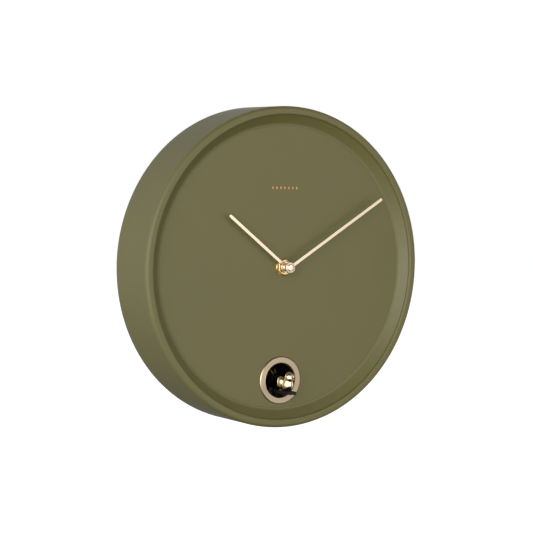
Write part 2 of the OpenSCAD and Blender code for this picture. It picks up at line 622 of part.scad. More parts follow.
module gearbox_plate() color([0.85, 0.85, 0.83]) difference() {
    block([gear_plate_x, gear_plate_x + gear_plate_t],
        [pillars[1][0] - 3, pillars[3][0] + 3], [pillars[3][1] - 3, pillars[0][1] + 3]);
    yz(drive_yz) disc_x(shaft_r + ease, 0, 2 * gear_plate_x);
    yz(reduce_yz) disc_x(shaft_r, 0, 2 * gear_plate_x);
    yz(motor_yz) disc_x(3.1, 0, 2 * gear_plate_x);
    for (p = pillars) yz(p) disc_x(1.1, 0, 2 * gear_plate_x);
}
module bird_motor() color([0.7, 0.7, 0.72]) yz(motor_yz) difference() {
    union() {
        disc_x(motor_r, motor_x[0], motor_x[1]);
        disc_x(3, gear_plate_x + 0.2, motor_x[0] + 0.1);
    }
    disc_x(motor_shaft_r + ease, 0, motor_x[0] + 6.5);
}
module motor_cap() color([0.93, 0.93, 0.9]) yz(motor_yz) union() {
    disc_x(motor_r - 0.6, motor_x[1], motor_x[1] + 1.6);
    for (s = [-1, 1]) block([motor_x[1] + 1.5, motor_x[1] + 4.5], [s * 4 - 1, s * 4 + 1], [-0.2, 0.2]);
}
// Four screws of the gearbox plate, and three that hold the bird module to the dial
module module_screws() color([0.6, 0.6, 0.62]) {
    for (p = pillars) yz(p, gear_plate_x + gear_plate_t) rotate([0, -90, 0]) pan_screw(0.85, 7.5, 1.9, 1);
    for (p = module_bosses) at(p, dial_back - module_boss_len - 2)
        pan_screw(screw_r, 6.5, screw_head_r, screw_head_t);
}

// ---------------------------------------------------------------- sound and control
speaker_xy = [-60, -55];
speaker_r = 25;
speaker_clamps = [for (a = [90, 210, 330]) speaker_xy + polar(speaker_r + 2.4, a)];
clamp_z = cover_front + 1.2;
module speaker_at() at(speaker_xy, cover_front) children();
module speaker_basket() color([0.25, 0.25, 0.27]) speaker_at() rotate_extrude() polygon([
    [22, 0.1], [speaker_r, 0.1], [speaker_r, 1.1], [22.4, 1.1], [13.5, 8.6], [13.5, 10], [9, 10],
    [9, 9.2], [12.6, 9.2], [12.6, 8.4], [22, 0.6]]);
module speaker_cone() color([0.15, 0.15, 0.15]) speaker_at() rotate_extrude() polygon([
    [0, 6.2], [5, 5.6], [21.6, 0.5], [22, 0.5], [22, 0.6], [6, 7.6], [6, 9], [5.4, 9], [5.4, 6.8], [0, 7]]);
module speaker_magnet() color([0.35, 0.35, 0.37]) speaker_at() disc(14, 10, 15);
module speaker_screws() color([0.6, 0.6, 0.62]) for (p = speaker_clamps)
    translate([p[0], p[1], clamp_z]) mirror([0, 0, 1]) pan_screw(1.1, 3, 3.1, 1.4);

board_x = [40, 86];
board_y = [-62, -28];
board_z = cover_front + 7.5;
board_t = 1.6;
board_posts = [for (x = [board_x[0] + 4, board_x[1] - 4], y = [board_y[0] + 4, board_y[1] - 4]) [x, y]];
post_r = 2.6;
post_hole_r = 1.15;
module control_board() color([0.1, 0.32, 0.18]) difference() {
    block(board_x, board_y, [board_z, board_z + board_t]);
    for (p = board_posts) at(p) disc(post_hole_r, 0, case_depth);
}
module board_components() color([0.12, 0.12, 0.13]) {
    block([58, 68], [-50, -43], [board_z + board_t, board_z + board_t + 1.6]);
    at([74, -54], board_z + board_t) cylinder(r = 3.2, h = 7);
    at([50, -54], board_z + board_t) cylinder(r = 2.5, h = 6);
    for (i = [0:3]) block([56 + i * 4, 58 + i * 4], [-36, -33], [board_z + board_t, board_z + board_t + 0.9]);
    for (x = [45, 74]) block([x, x + 6], [-46, -40], [board_z + board_t, board_z + board_t + 5]);
}
module board_screws() color([0.6, 0.6, 0.62]) for (p = board_posts)
    translate([p[0], p[1], board_z + board_t]) mirror([0, 0, 1]) pan_screw(1.05, 6.5, 2.1, 1.3);
slider_xy = [54, -52];
slider_travel = 2;
housing = [6, 2.9];
knob = [1.6, 1.2];
module switch_housing() color([0.75, 0.75, 0.77]) at(slider_xy) difference() {
    block([-housing[0], housing[0]], [-housing[1], housing[1]], [board_z - 4.6, board_z]);
    block([-housing[0] + 0.8, housing[0] - 0.8], [-housing[1] + 0.8, housing[1] - 0.8],
        [board_z - 3.8, board_z - 0.8]);
    block([-knob[0] - slider_travel - gap, knob[0] + slider_travel + gap], [-knob[1] - 0.15, knob[1] + 0.15],
        [0, board_z - 3]);
}
module volume_slider() color([0.1, 0.1, 0.1]) at(slider_xy) union() {
    block([-2.8, 2.8], [-housing[1] + 0.95, housing[1] - 0.95], [board_z - 3.6, board_z - 2]);
    block([-knob[0], knob[0]], [-knob[1], knob[1]], [cover_inset - 1.4, board_z - 3.5]);
}
button_xy = [72, -36];
button_r = 3;
button_travel = 1.5;
module button_switch() color([0.2, 0.2, 0.22]) at(button_xy) union() {
    block([-3, 3], [-3, 3], [board_z - 2.6, board_z]);
    disc(1.1, board_z - 3.1, board_z - 2.5);
}
flange_z = [cover_front + gap, cover_front + gap + 0.9];
module test_button() color([0.75, 0.72, 0.6]) at(button_xy) difference() {
    union() {
        disc(button_r, cover_inset - 1.5, flange_z[0] + 0.1);
        disc(button_r + 1.1, flange_z[0], flange_z[1]);
    }
    disc(1.3, flange_z[0] - 1, flange_z[1] + cut);
}
// Coil spring between the button's flange and the board, its ends cut square
spring_r = 2.4;
spring_wire = 0.2;
spring_turns = 5;
spring_steps = 12;
spring_sides = 8;
spring_z = [flange_z[1] + spring_wire + 0.05, board_z - 2.6 - spring_wire - 0.05];
function spring_ring(i) = let (a = i * 360 / spring_steps, h = i / (spring_turns * spring_steps)) [
    for (k = [0:spring_sides - 1]) let (b = k * 360 / spring_sides, r = spring_r + spring_wire * cos(b))
        [r * cos(a), r * sin(a), spring_z[0] + h * (spring_z[1] - spring_z[0]) + spring_wire * sin(b)]];
module test_spring() color([0.8, 0.8, 0.82]) at(button_xy) {
    rings = spring_turns * spring_steps;
    polyhedron(
        points = [for (i = [0:rings]) each spring_ring(i)],
        faces = [
            [for (k = [spring_sides - 1:-1:0]) k],
            [for (k = [0:spring_sides - 1]) rings * spring_sides + k],
            for (i = [0:rings - 1], k = [0:spring_sides - 1])
                let (n = (k + 1) % spring_sides, b = i * spring_sides)
                    [b + k, b + n, b + spring_sides + n, b + spring_sides + k]
        ]);
}

// ---------------------------------------------------------------- power
tray_mid = [70, 35];
tray_t = 1.5;
tray_in = [cell_len / 2 + 1.8, 2 * cell_r + 1.1];
tray_depth = 2 * cell_r + 1.2;
cells_y = [for (s = [-1, 1]) s * (cell_r + 0.4)];
cell_z = cover_front + cell_r + 0.4;
module battery_tray() color([0.15, 0.15, 0.16]) at(tray_mid) difference() {
    block([-tray_in[0] - tray_t, tray_in[0] + tray_t], [-tray_in[1] - tray_t, tray_in[1] + tray_t],
        [cover_front, cover_front + tray_depth + tray_t]);
    block([-tray_in[0], tray_in[0]], [-tray_in[1], tray_in[1]], [0, cover_front + tray_depth]);
}
module battery_contacts() color([0.8, 0.8, 0.82]) at(tray_mid)
    for (s = [-1, 1], y = cells_y) translate([0, y, cell_z]) {
        block(s > 0 ? [tray_in[0] - contact_t, tray_in[0]] : [-tray_in[0], -tray_in[0] + contact_t],
            [-5, 5], [-5, 5]);
        disc_x(2.2, s > 0 ? cell_len / 2 : -tray_in[0], s > 0 ? tray_in[0] : -cell_len / 2);
    }
module cuckoo_batteries() color([0.75, 0.76, 0.78]) at(tray_mid, cell_z) {
    translate([0, cells_y[0], 0]) cell(-cell_len / 2);
    translate([0, cells_y[1], 0]) mirror([1, 0, 0]) cell(-cell_len / 2);
}
door = [tray_in[0] + 1, tray_in[1] + 1];        // half sizes
door_t = 1.5;
door_z = [cover_inset + 0.1, cover_inset + 0.1 + door_t];
door_travel = 12;
tongue = 1;
module battery_door() color([0.34, 0.33, 0.21]) at(tray_mid) union() {
    difference() {
        block([-door[0], door[0]], [-door[1], door[1]], door_z);
        for (i = [0:4]) block([door[0] - 10 + i * 1.6, door[0] - 9.2 + i * 1.6], [-8, 8],
            [0, door_z[0] + 0.5]);
    }
    for (s = [-1, 1]) block([-door[0] + 2, -door[0] + 2 + door[0]], s > 0 ? [door[1] - 0.1, door[1] + tongue]
        : [-door[1] - tongue, -door[1] + 0.1], [door_z[1] - 0.7, door_z[1]]);
}

// ---------------------------------------------------------------- back
cover_r = cavity_r - gap;
keyhole_drop = 7;
keyhole_r = 4.2;
nail_r = 2.2;
hanger_xy = [0, hang_up - 2];
hanger_size = [20, 11];
hanger_t = 1;
hanger_screws = [[-15, hang_up - 2], [15, hang_up - 2]];
// Window for reaching the movement's battery and knob
window_x = mv_x + 5;
window_y = [mv_y0 - 5, mv_y1 + 5];
grille_half = [for (i = [-3:3]) sqrt(20 * 20 - pow(i * 5.5, 2))];
module back_cover() color([0.34, 0.33, 0.21]) difference() {
    union() {
        disc(cover_r, cover_inset, cover_front);
        for (p = board_posts) at(p) disc(post_r, cover_front - 0.1, board_z);
        for (p = speaker_clamps) at(p) disc(2.4, cover_front - 0.1, clamp_z);
        for (p = hanger_screws) at(p) disc(3, cover_front - 0.1, cover_front + 5);
    }
    for (p = cover_screws) at(p) disc(screw_hole_r, 0, cover_front + cut);
    block([-window_x, window_x], window_y, [0, cover_front + cut]);
    for (p = board_posts) at(p) disc(post_hole_r, board_z - 7, board_z + cut);
    for (p = speaker_clamps) at(p) disc(1.15, cover_inset + 0.6, clamp_z + cut);
    for (p = hanger_screws) at(p) disc(1.3, 0, cover_front + 4);
    // Pocket for the nail's head behind the hanger plate
    block([-9, 9], [hang_up - keyhole_drop - 6, hang_up + 4], [0, cover_front + cut]);
    for (i = [-3:3]) at(speaker_xy) block([-grille_half[i + 3], grille_half[i + 3]],
        [i * 5.5 - 1.2, i * 5.5 + 1.2], [0, cover_front + cut]);
    at(slider_xy) block([-knob[0] - slider_travel - gap, knob[0] + slider_travel + gap],
        [-knob[1] - 0.15, knob[1] + 0.15], [0, cover_front + cut]);
    at(button_xy) disc(button_r + ease, 0, cover_front + cut);
    // Battery door: a pocket as long as the door and its travel, with grooves for the tongues
    at(tray_mid) block([-tray_in[0], tray_in[0]], [-tray_in[1], tray_in[1]], [0, cover_front + cut]);
    at(tray_mid) block([-door[0] - gap, door[0] + door_travel + gap], [-door[1] - 0.2, door[1] + 0.2],
        [0, door_z[1] + 0.1]);
    at(tray_mid) block([-door[0] + 2 - gap, door[0] + 2 + door_travel - 2], [-door[1] - tongue - 0.2,
        door[1] + tongue + 0.2], [door_z[1] - 0.8, door_z[1] + 0.1]);
}
module hanger_plate() color([0.75, 0.75, 0.77]) difference() {
    at(hanger_xy) block([-hanger_size[0], hanger_size[0]], [-hanger_size[1], hanger_size[1]],
        [cover_inset - hanger_t, cover_inset]);
    translate([0, hang_up - keyhole_drop]) disc(keyhole_r, 0, cover_front);
    translate([0, hang_up]) disc(nail_r, 0, cover_front);
    block([-nail_r, nail_r], [hang_up - keyhole_drop, hang_up], [0, cover_front]);
    for (p = hanger_screws) at(p) disc(1.4, 0, cover_front);
}
// Six cover screws, and the two short ones of the hanger plate
module back_screws() color([0.6, 0.6, 0.62]) {
    for (p = cover_screws) at(p, cover_inset) pan_screw(screw_r, 12, screw_head_r, screw_head_t);
    for (p = hanger_screws) at(p, cover_inset - hanger_t) pan_screw(1.2, 6.5, 2.3, 0.9);
}

stand() case_shell();
stand() dial();
stand() bird_ring();
stand() dial_motif();
stand() hour_hand();
stand() minute_hand();
stand() hand_cap();
stand() movement_nut();
stand() movement_washer();
stand() movement_gasket();
stand() movement_case();
stand() movement_cover();
stand() circuit_board();
stand() coil_bobbin();
stand() coil_winding();
stand() stator();
stand() rotor();
stand() intermediate_wheel();
stand() second_wheel();
stand() third_wheel();
stand() centre_wheel();
stand() minute_arbor();
stand() minute_wheel();
stand() hour_wheel();
stand() setting_knob();
stand() movement_contacts();
stand() movement_battery();
stand() bird();
stand() perch_carriage();
stand() bird_screw();
stand() bird_shroud();
stand() drive_shaft();
stand() rack_pinion();
stand() drive_gear();
stand() reduction_gear();
stand() reduction_pin();
stand() motor_pinion();
stand() bird_motor();
stand() motor_cap();
stand() gearbox_plate();
stand() module_screws();
stand() speaker_basket();
stand() speaker_cone();
stand() speaker_magnet();
stand() speaker_screws();
stand() control_board();
stand() board_components();
stand() board_screws();
stand() switch_housing();
stand() volume_slider();
stand() button_switch();
stand() test_button();
stand() test_spring();
stand() battery_tray();
stand() battery_contacts();
stand() cuckoo_batteries();
stand() battery_door();
stand() back_cover();
stand() hanger_plate();
stand() back_screws();
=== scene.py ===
import json
import math
from contextlib import contextmanager

import bmesh
import bpy
import numpy as np
from mathutils import Matrix, Vector


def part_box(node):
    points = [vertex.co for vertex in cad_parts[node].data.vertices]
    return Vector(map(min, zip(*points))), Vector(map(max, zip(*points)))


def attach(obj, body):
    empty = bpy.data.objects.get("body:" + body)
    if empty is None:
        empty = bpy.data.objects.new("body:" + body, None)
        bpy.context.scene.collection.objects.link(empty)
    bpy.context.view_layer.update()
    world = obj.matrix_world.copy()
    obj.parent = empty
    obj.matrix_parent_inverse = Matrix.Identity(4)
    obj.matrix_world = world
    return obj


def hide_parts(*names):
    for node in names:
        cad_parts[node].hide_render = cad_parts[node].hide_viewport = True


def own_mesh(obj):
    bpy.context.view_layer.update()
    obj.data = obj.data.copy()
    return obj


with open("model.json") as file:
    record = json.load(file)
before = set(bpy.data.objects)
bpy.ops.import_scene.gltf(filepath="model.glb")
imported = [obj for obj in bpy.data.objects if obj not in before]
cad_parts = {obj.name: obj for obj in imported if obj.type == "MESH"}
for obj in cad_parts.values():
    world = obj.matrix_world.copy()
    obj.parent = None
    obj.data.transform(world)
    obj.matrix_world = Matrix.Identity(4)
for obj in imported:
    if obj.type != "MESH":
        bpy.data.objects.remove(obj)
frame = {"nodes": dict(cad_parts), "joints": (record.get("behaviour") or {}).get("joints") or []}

bl_info = {
    "name": "Bird wall clock",
    "version": (1, 0, 0),
    "blender": (4, 5, 0),
    "location": "View3D > Sidebar > Clock",
    "description": "Builds the finished surfaces of a round wall clock with a pop-out bird",
    "category": "Add Mesh",
}

MM = 0.001
CASE_LOW, CASE_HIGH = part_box("case_shell")
CASE_RADIUS = (CASE_HIGH.x - CASE_LOW.x) / 2
CASE_DEPTH = CASE_HIGH.y - CASE_LOW.y
AXIS_Z = (CASE_HIGH.z + CASE_LOW.z) / 2           # height of the hands' axis
RING_LOW, RING_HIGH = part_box("bird_ring")
RING_Z = (RING_HIGH.z + RING_LOW.z) / 2
AXIS, RING_AXIS = (0.0, 0.0, AXIS_Z), (0.0, 0.0, RING_Z)
FRONT_TURN = (math.pi / 2, 0, 0)                  # turns a lathe's own +Z to the front, -Y
NODES = frame["nodes"]


# ---- node trees
def arithmetic(operation, swapped=False):
    """A Python operator that adds a Math node."""
    def act(self, other):
        return self.maths(operation, *((other, self) if swapped else (self, other)))
    return act


class Wire:
    """A node's output that Python's operators work on."""

    def __init__(self, tree, socket):
        self.tree, self.socket = tree, socket

    def maths(self, operation, first, second=0.0):
        return self.tree.node("ShaderNodeMath", {"operation": operation}, {0: first, 1: second})[0]

    __add__, __radd__ = arithmetic("ADD"), arithmetic("ADD", True)
    __sub__, __rsub__ = arithmetic("SUBTRACT"), arithmetic("SUBTRACT", True)
    __mul__, __rmul__ = arithmetic("MULTIPLY"), arithmetic("MULTIPLY", True)
    __gt__, __lt__ = arithmetic("GREATER_THAN"), arithmetic("LESS_THAN")
    __truediv__, __pow__ = arithmetic("DIVIDE"), arithmetic("POWER")


class Made:
    """A node that was made; its outputs are read by name or number."""

    def __init__(self, tree, node):
        self.tree, self.made = tree, node

    def __getitem__(self, key):
        return Wire(self.tree, self.made.outputs[key])


class Tree:
    """Writes a node tree, one node at a time."""

    def __init__(self, tree):
        self.tree = tree

    def node(self, kind, settings=None, sockets=None):
        made = self.tree.nodes.new(kind)
        for key, value in (settings or {}).items():
            if key == "stops":
                self.set_stops(made.color_ramp, value)
            else:
                setattr(made, key, value)
        for key, value in (sockets or {}).items():
            for one in value if isinstance(value, list) else [value]:
                if isinstance(one, Wire):
                    self.tree.links.new(one.socket, made.inputs[key])
                else:
                    made.inputs[key].default_value = one
        return Made(self, made)

    @staticmethod
    def set_stops(ramp, stops):
        while len(ramp.elements) < len(stops):
            ramp.elements.new(0.5)
        for element, (place, value) in zip(ramp.elements, stops):
            element.position = place
            element.color = (value, value, value, 1)

    # Shader helpers
    def noise(self, place, scale, detail=2.0, rough=0.5):
        sockets = {"Vector": place, "Scale": scale, "Detail": detail, "Roughness": rough}
        return self.node("ShaderNodeTexNoise", {}, sockets)[0]

    def ramp(self, factor, *stops):
        return self.node("ShaderNodeValToRGB", {"stops": stops}, {"Fac": factor})[0]

    def mix(self, factor, first, second):
        sockets = {0: factor, 6: first, 7: second}
        return self.node("ShaderNodeMix", {"data_type": "RGBA"}, sockets)[2]

    def bump(self, height, depth, strength=1.0):
        sockets = {"Strength": strength, "Distance": depth, "Height": height}
        return self.node("ShaderNodeBump", {}, sockets)[0]

    def vector(self, operation, first, second=(0, 0, 0)):
        sockets = {0: first, 1: second}
        return self.node("ShaderNodeVectorMath", {"operation": operation}, sockets)

    def parts(self, vector):
        made = self.node("ShaderNodeSeparateXYZ", {}, {0: vector})
        return made[0], made[1], made[2]

    def stretched(self, place, scale, turn=(0, 0, 0)):
        sockets = {"Vector": place, "Scale": scale, "Rotation": turn}
        return self.node("ShaderNodeMapping", {}, sockets)[0]


SOCKET_KINDS = {float: "NodeSocketFloat", int: "NodeSocketInt", tuple: "NodeSocketVector"}


class Recipe(Tree):
    def __init__(self, name, **inputs):
        super().__init__(bpy.data.node_groups.new(name, "GeometryNodeTree"))
        face = self.tree.interface
        face.new_socket("Geometry", in_out="INPUT", socket_type="NodeSocketGeometry")
        for key, value in inputs.items():
            made = face.new_socket(key, in_out="INPUT", socket_type=SOCKET_KINDS[type(value)])
            made.default_value = value
        face.new_socket("Finish", in_out="INPUT", socket_type="NodeSocketMaterial")
        face.new_socket("Geometry", in_out="OUTPUT", socket_type="NodeSocketGeometry")
        self.given = self.node("NodeGroupInput")

    def __getitem__(self, key):
        return self.given[key]

    def geo(self, kind, sockets, **settings):
        """The first output of a new geometry node."""
        return self.node("GeometryNode" + kind, settings, sockets)[0]

    def xyz(self, x=0.0, y=0.0, z=0.0):
        return self.node("ShaderNodeCombineXYZ", {}, {0: x, 1: y, 2: z})[0]

    def attribute(self, name, kind="FLOAT"):
        return self.geo("InputNamedAttribute", {"Name": name}, data_type=kind)

    def join(self, *geometry):
        return self.geo("JoinGeometry", {0: list(geometry)})

    def moved(self, geometry, shift=(0, 0, 0), turn=(0, 0, 0)):
        return self.geo("Transform", {"Geometry": geometry, "Translation": shift, "Rotation": turn})

    def finish(self, geometry):
        real = self.geo("RealizeInstances", {0: geometry})
        self.node("NodeGroupOutput", {}, {
            0: self.geo("SetMaterial", {"Geometry": real, "Material": self["Finish"]})})
        return self.tree


def lathed(tree, section, turns, steps, path):
    """Turns a closed outline round +Z. Its own x is the distance outside the path, and y is depth."""
    eased = tree.geo("FilletCurve", {"Curve": tree.geo("MeshToCurve", {0: section}), "Count": steps,
                                     "Radius": tree.attribute("fillet"), "Limit Radius": True}, mode="POLY")
    circle = tree.geo("CurvePrimitiveCircle", {"Resolution": turns, "Radius": path})
    return tree.geo("CurveToMesh", {"Curve": circle, "Profile Curve": eased})


def cylinders(tree, points, size, sides):
    """A cylinder along Y at each point, of the radius and length in the points' attribute."""
    one = tree.geo("MeshCylinder", {"Vertices": sides, "Side Segments": 1, "Radius": 1.0, "Depth": 1.0})
    many = tree.geo("InstanceOnPoints", {
        "Points": tree.geo("MeshToPoints", {"Mesh": points}), "Instance": one, "Rotation": FRONT_TURN,
        "Scale": tree.attribute(size, "FLOAT_VECTOR")})
    return tree.geo("RealizeInstances", {0: many})


def lathe_recipe():
    recipe = Recipe("Turned part", Path=0.01, Turns=96, Steps=6, Shift=(0.0, 0.0, 0.0), Turn=FRONT_TURN)
    body = lathed(recipe, recipe["Geometry"], recipe["Turns"], recipe["Steps"], recipe["Path"])
    return recipe.finish(recipe.moved(body, recipe["Shift"], recipe["Turn"]))


def drum_recipe():
    """A turned disc, joined to its screw bosses and cut by its bores."""
    recipe = Recipe("Drum", Path=0.1, Turns=256, Steps=7, Shift=(0.0, 0.0, 0.0), Sides=64)
    drum = lathed(recipe, recipe["Geometry"], recipe["Turns"], recipe["Steps"], recipe["Path"])
    drum = recipe.moved(drum, recipe["Shift"], FRONT_TURN)
    bosses, bores = [cylinders(recipe, recipe.geo("SeparateGeometry", {
        "Geometry": recipe["Geometry"], "Selection": recipe.attribute(name + "_radius") > 0.0}),
        "size", recipe["Sides"]) for name in ("boss", "bore")]
    whole = recipe.geo("MeshBoolean", {1: [drum, bosses]}, operation="UNION")
    return recipe.finish(recipe.geo("MeshBoolean", {0: whole, 1: bores}, operation="DIFFERENCE"))


def mark_recipe():
    """A row of small raised lozenges."""
    recipe = Recipe("Dial mark", Count=7, Step=(0.0044, 0.0, 0.0), Width=0.0018, Height=0.0034,
                    Relief=0.00015, Start=(0.0, 0.0, 0.0))
    row = recipe.geo("MeshLine", {"Count": recipe["Count"], "Start Location": recipe["Start"],
                                  "Offset": recipe["Step"]})
    shape = recipe.geo("MeshCircle", {"Vertices": 4, "Radius": 0.5}, fill_type="NGON")
    flat = recipe.geo("Transform", {"Geometry": shape,
                                    "Scale": recipe.xyz(recipe["Width"], recipe["Height"], 1.0)})
    thick = recipe.node("GeometryNodeExtrudeMesh", {}, {
        "Mesh": flat, "Offset": recipe.xyz(z=recipe["Relief"]), "Individual": False})
    top = recipe.geo("ScaleElements", {"Geometry": thick[0], "Selection": thick["Top"], "Scale": 0.86})
    closed = recipe.geo("MergeByDistance", {
        "Geometry": recipe.join(top, recipe.geo("FlipFaces", {"Mesh": flat})), "Distance": 1e-6})
    return recipe.finish(recipe.geo("InstanceOnPoints", {"Points": row, "Instance": closed,
                                                         "Rotation": FRONT_TURN}))


def wound(recipe, radius, length, turns, steps, wire, sides):
    """Round wire of that radius in a spiral round +Z."""
    line = recipe.geo("CurveSpiral", {"Resolution": steps, "Rotations": turns, "Start Radius": radius,
                                      "End Radius": radius, "Height": length})
    ring = recipe.geo("CurvePrimitiveCircle", {"Resolution": sides, "Radius": wire})
    return recipe.geo("CurveToMesh", {"Curve": line, "Profile Curve": ring, "Fill Caps": True})


def wire_recipe():
    """Round wire wound in a spiral, for springs and coils, with its axis along +Z."""
    recipe = Recipe("Wound wire", Radius=0.0024, Wire=0.0002, Length=0.004, Turns=5.0, Sides=8,
                    Steps=24, Shift=(0.0, 0.0, 0.0), Turn=(0.0, 0.0, 0.0))
    tube = wound(recipe, *(recipe[key] for key in ("Radius", "Length", "Turns", "Steps", "Wire", "Sides")))
    return recipe.finish(recipe.moved(tube, recipe["Shift"], recipe["Turn"]))


def screw_recipe():
    """A pan-head screw with a cross recess and a threaded shank, at every point."""
    recipe = Recipe("Screws", HeadRadius=0.0028, HeadHeight=0.0016, ShankRadius=0.0014, Length=0.012,
                    Pitch=0.0011, Turn=(0.0, 0.0, 0.0), Seed=7)
    radius, high, length = recipe["HeadRadius"], recipe["HeadHeight"], recipe["Length"]
    core, threaded = recipe["ShankRadius"] * 0.82, length * 0.9
    ball = recipe.geo("MeshUVSphere", {"Segments": 32, "Rings": 16, "Radius": radius})
    dome = recipe.geo("Transform", {"Geometry": ball, "Scale": recipe.xyz(1.0, 1.0, high / radius)})
    slab = recipe.geo("MeshCylinder", {"Vertices": 32, "Radius": radius * 1.2, "Depth": high})
    slab = recipe.moved(slab, recipe.xyz(z=high * 0.5))
    head = recipe.geo("MeshBoolean", {1: [dome, slab]}, operation="INTERSECT")
    cutters = []
    for width, depth in ((1.1, 0.26), (0.26, 1.1)):
        box = recipe.geo("MeshCube", {"Size": recipe.xyz(radius * width, radius * depth, high * 1.1)})
        cutters.append(recipe.moved(box, recipe.xyz(z=high * 1.05)))
    head = recipe.geo("MeshBoolean", {0: head, 1: cutters}, operation="DIFFERENCE")
    shank = recipe.geo("MeshCylinder", {"Vertices": 20, "Radius": core, "Depth": length})
    shank = recipe.moved(shank, recipe.xyz(z=length * -0.5 + high * 0.1))
    thread = wound(recipe, core, threaded, threaded / recipe["Pitch"], 16, recipe["ShankRadius"] * 0.18, 4)
    screw = recipe.join(head, shank, recipe.moved(thread, recipe.xyz(z=length * -0.96)))
    many = recipe.geo("InstanceOnPoints", {
        "Points": recipe.geo("MeshToPoints", {"Mesh": recipe["Geometry"]}), "Instance": screw,
        "Rotation": recipe["Turn"]})
    random = recipe.node("FunctionNodeRandomValue", {"data_type": "FLOAT"},
                         {2: 0.0, 3: math.tau, "Seed": recipe["Seed"]})[1]
    return recipe.finish(recipe.geo("RotateInstances", {
        "Instances": many, "Rotation": recipe.xyz(z=random), "Local Space": True}))


# ---- meshes
def linked(name, data):
    """A new object in the scene."""
    made = bpy.data.objects.new(name, data)
    bpy.context.scene.collection.objects.link(made)
    return made


def mesh_object(name, points, faces=(), edges=()):
    mesh = bpy.data.meshes.new(name)
    mesh.from_pydata([tuple(p) for p in points], list(edges), list(faces))
    return linked(name, mesh)


def settled(made, name, material):
    """Turns an object with modifiers into a plain mesh and gives it its material."""
    graph = bpy.context.evaluated_depsgraph_get()
    graph.update()
    mesh = bpy.data.meshes.new_from_object(made.evaluated_get(graph))
    if not mesh.polygons:
        raise RuntimeError(name + " has no faces")
    made.modifiers.clear()
    made.data = mesh
    made.name = mesh.name = name
    mesh.materials.clear()
    mesh.materials.append(material)
    return made


def smooth(made, angle=35):
    made.data.shade_smooth()
    made.data.set_sharp_from_angle(angle=math.radians(angle))
    return made


def weighted(made):
    """Normals that follow the large flat faces, applied to the mesh."""
    made.modifiers.new("Normals", "WEIGHTED_NORMAL").keep_sharp = True
    return settled(made, made.name, made.data.materials[0])


@contextmanager
def edited(made):
    """The object's mesh, open for bmesh."""
    work = bmesh.new()
    work.from_mesh(made.data)
    yield work
    work.to_mesh(made.data)
    work.free()


def outward(made):
    """Merges doubles and turns every face out."""
    with edited(made) as work:
        bmesh.ops.remove_doubles(work, verts=work.verts, dist=1e-7)
        bmesh.ops.recalc_face_normals(work, faces=work.faces)
    return made


def cooked(name, start, tree, material, **values):
    """Runs a Geometry Nodes tree on an object and keeps the result as a plain mesh."""
    modifier = start.modifiers.new("Recipe", "NODES")
    modifier.node_group = tree
    sockets = {i.name: i.identifier for i in tree.interface.items_tree if i.in_out == "INPUT"}
    for key, value in {**values, "Finish": material}.items():
        modifier[sockets[key]] = value
    return settled(start, name, material)


def attribute(made, name, kind, values):
    made.data.attributes.new(name, kind, "POINT")
    field = "vector" if kind == "FLOAT_VECTOR" else "value"
    made.data.attributes[name].data.foreach_set(field, np.array(values, np.float32).ravel())


def turned(name, outline, material, centre=(0, 0, 0), turns=96, steps=5, turn=FRONT_TURN, angle=30):
    """A turned part. outline is a closed list of (radius, level, fillet), the level along the axis."""
    path = sum(p[0] for p in outline) / len(outline)
    count = len(outline)
    start = mesh_object(name, [(r - path, -level, 0) for r, level, _ in outline],
                        edges=[(i, (i + 1) % count) for i in range(count)])
    attribute(start, "fillet", "FLOAT", [p[2] for p in outline])
    made = cooked(name, start, bpy.data.node_groups.get("Turned part") or lathe_recipe(), material,
                  Path=path, Turns=turns, Steps=steps, Shift=tuple(centre), Turn=tuple(turn))
    return weighted(smooth(outward(made), angle))


def solids(node):
    """Corners (low, high) of each separate solid in a CAD node."""
    work = bmesh.new()
    work.from_mesh(NODES[node].data)
    bmesh.ops.remove_doubles(work, verts=work.verts, dist=1e-6)
    left, found = set(work.verts), []
    while left:
        group, front = set(), [next(iter(left))]
        while front:
            vertex = front.pop()
            if vertex in group:
                continue
            group.add(vertex)
            front += [e.other_vert(vertex) for e in vertex.link_edges]
        left -= group
        places = np.array([v.co for v in group])
        found.append((Vector(places.min(0)), Vector(places.max(0))))
    work.free()
    return sorted(found, key=lambda f: tuple(f[0]))


def eased(node, material, width):
    """A CAD node's shape with its edges rounded as a mould rounds them."""
    made = linked(node + "_finished", NODES[node].data.copy())
    custom = made.data.attributes.get("custom_normal")
    if custom:
        made.data.attributes.remove(custom)
    with edited(made) as work:
        bmesh.ops.remove_doubles(work, verts=work.verts, dist=2e-6)
        bmesh.ops.dissolve_limit(work, angle_limit=math.radians(0.6), verts=work.verts, edges=work.edges)
    bevel = made.modifiers.new("Edges", "BEVEL")
    bevel.width, bevel.segments, bevel.limit_method = width, 2, "ANGLE"
    bevel.angle_limit = math.radians(40)
    bevel.use_clamp_overlap = True
    made.data.shade_smooth()
    return weighted(smooth(settled(made, made.name, material), 30))


def keep(made, body, slot, *nodes):
    """The piece rides on its body and stands for its CAD nodes; its slot is not used."""
    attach(made, body)
    if nodes:
        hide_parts(*nodes)
    return made


# ---- finishes
def cleared(owner):
    """The node tree of a material or a world, emptied."""
    owner.use_nodes = True
    owner.node_tree.nodes.clear()
    return Tree(owner.node_tree)


def finish(name, build):
    """The material of that name; build(tree, place) returns its Principled sockets when it is new."""
    made = bpy.data.materials.get(name)
    if made:
        return made
    made = bpy.data.materials.new(name)
    tree = cleared(made)
    spot = tree.node("ShaderNodeTexCoord")["Object"]
    shader = tree.node("ShaderNodeBsdfPrincipled", {}, build(tree, spot))
    tree.node("ShaderNodeOutputMaterial", {}, {0: shader[0]})
    return made


def shade(colour, factor):
    return tuple(min(1.0, c * factor) for c in colour[:3]) + (1.0,)


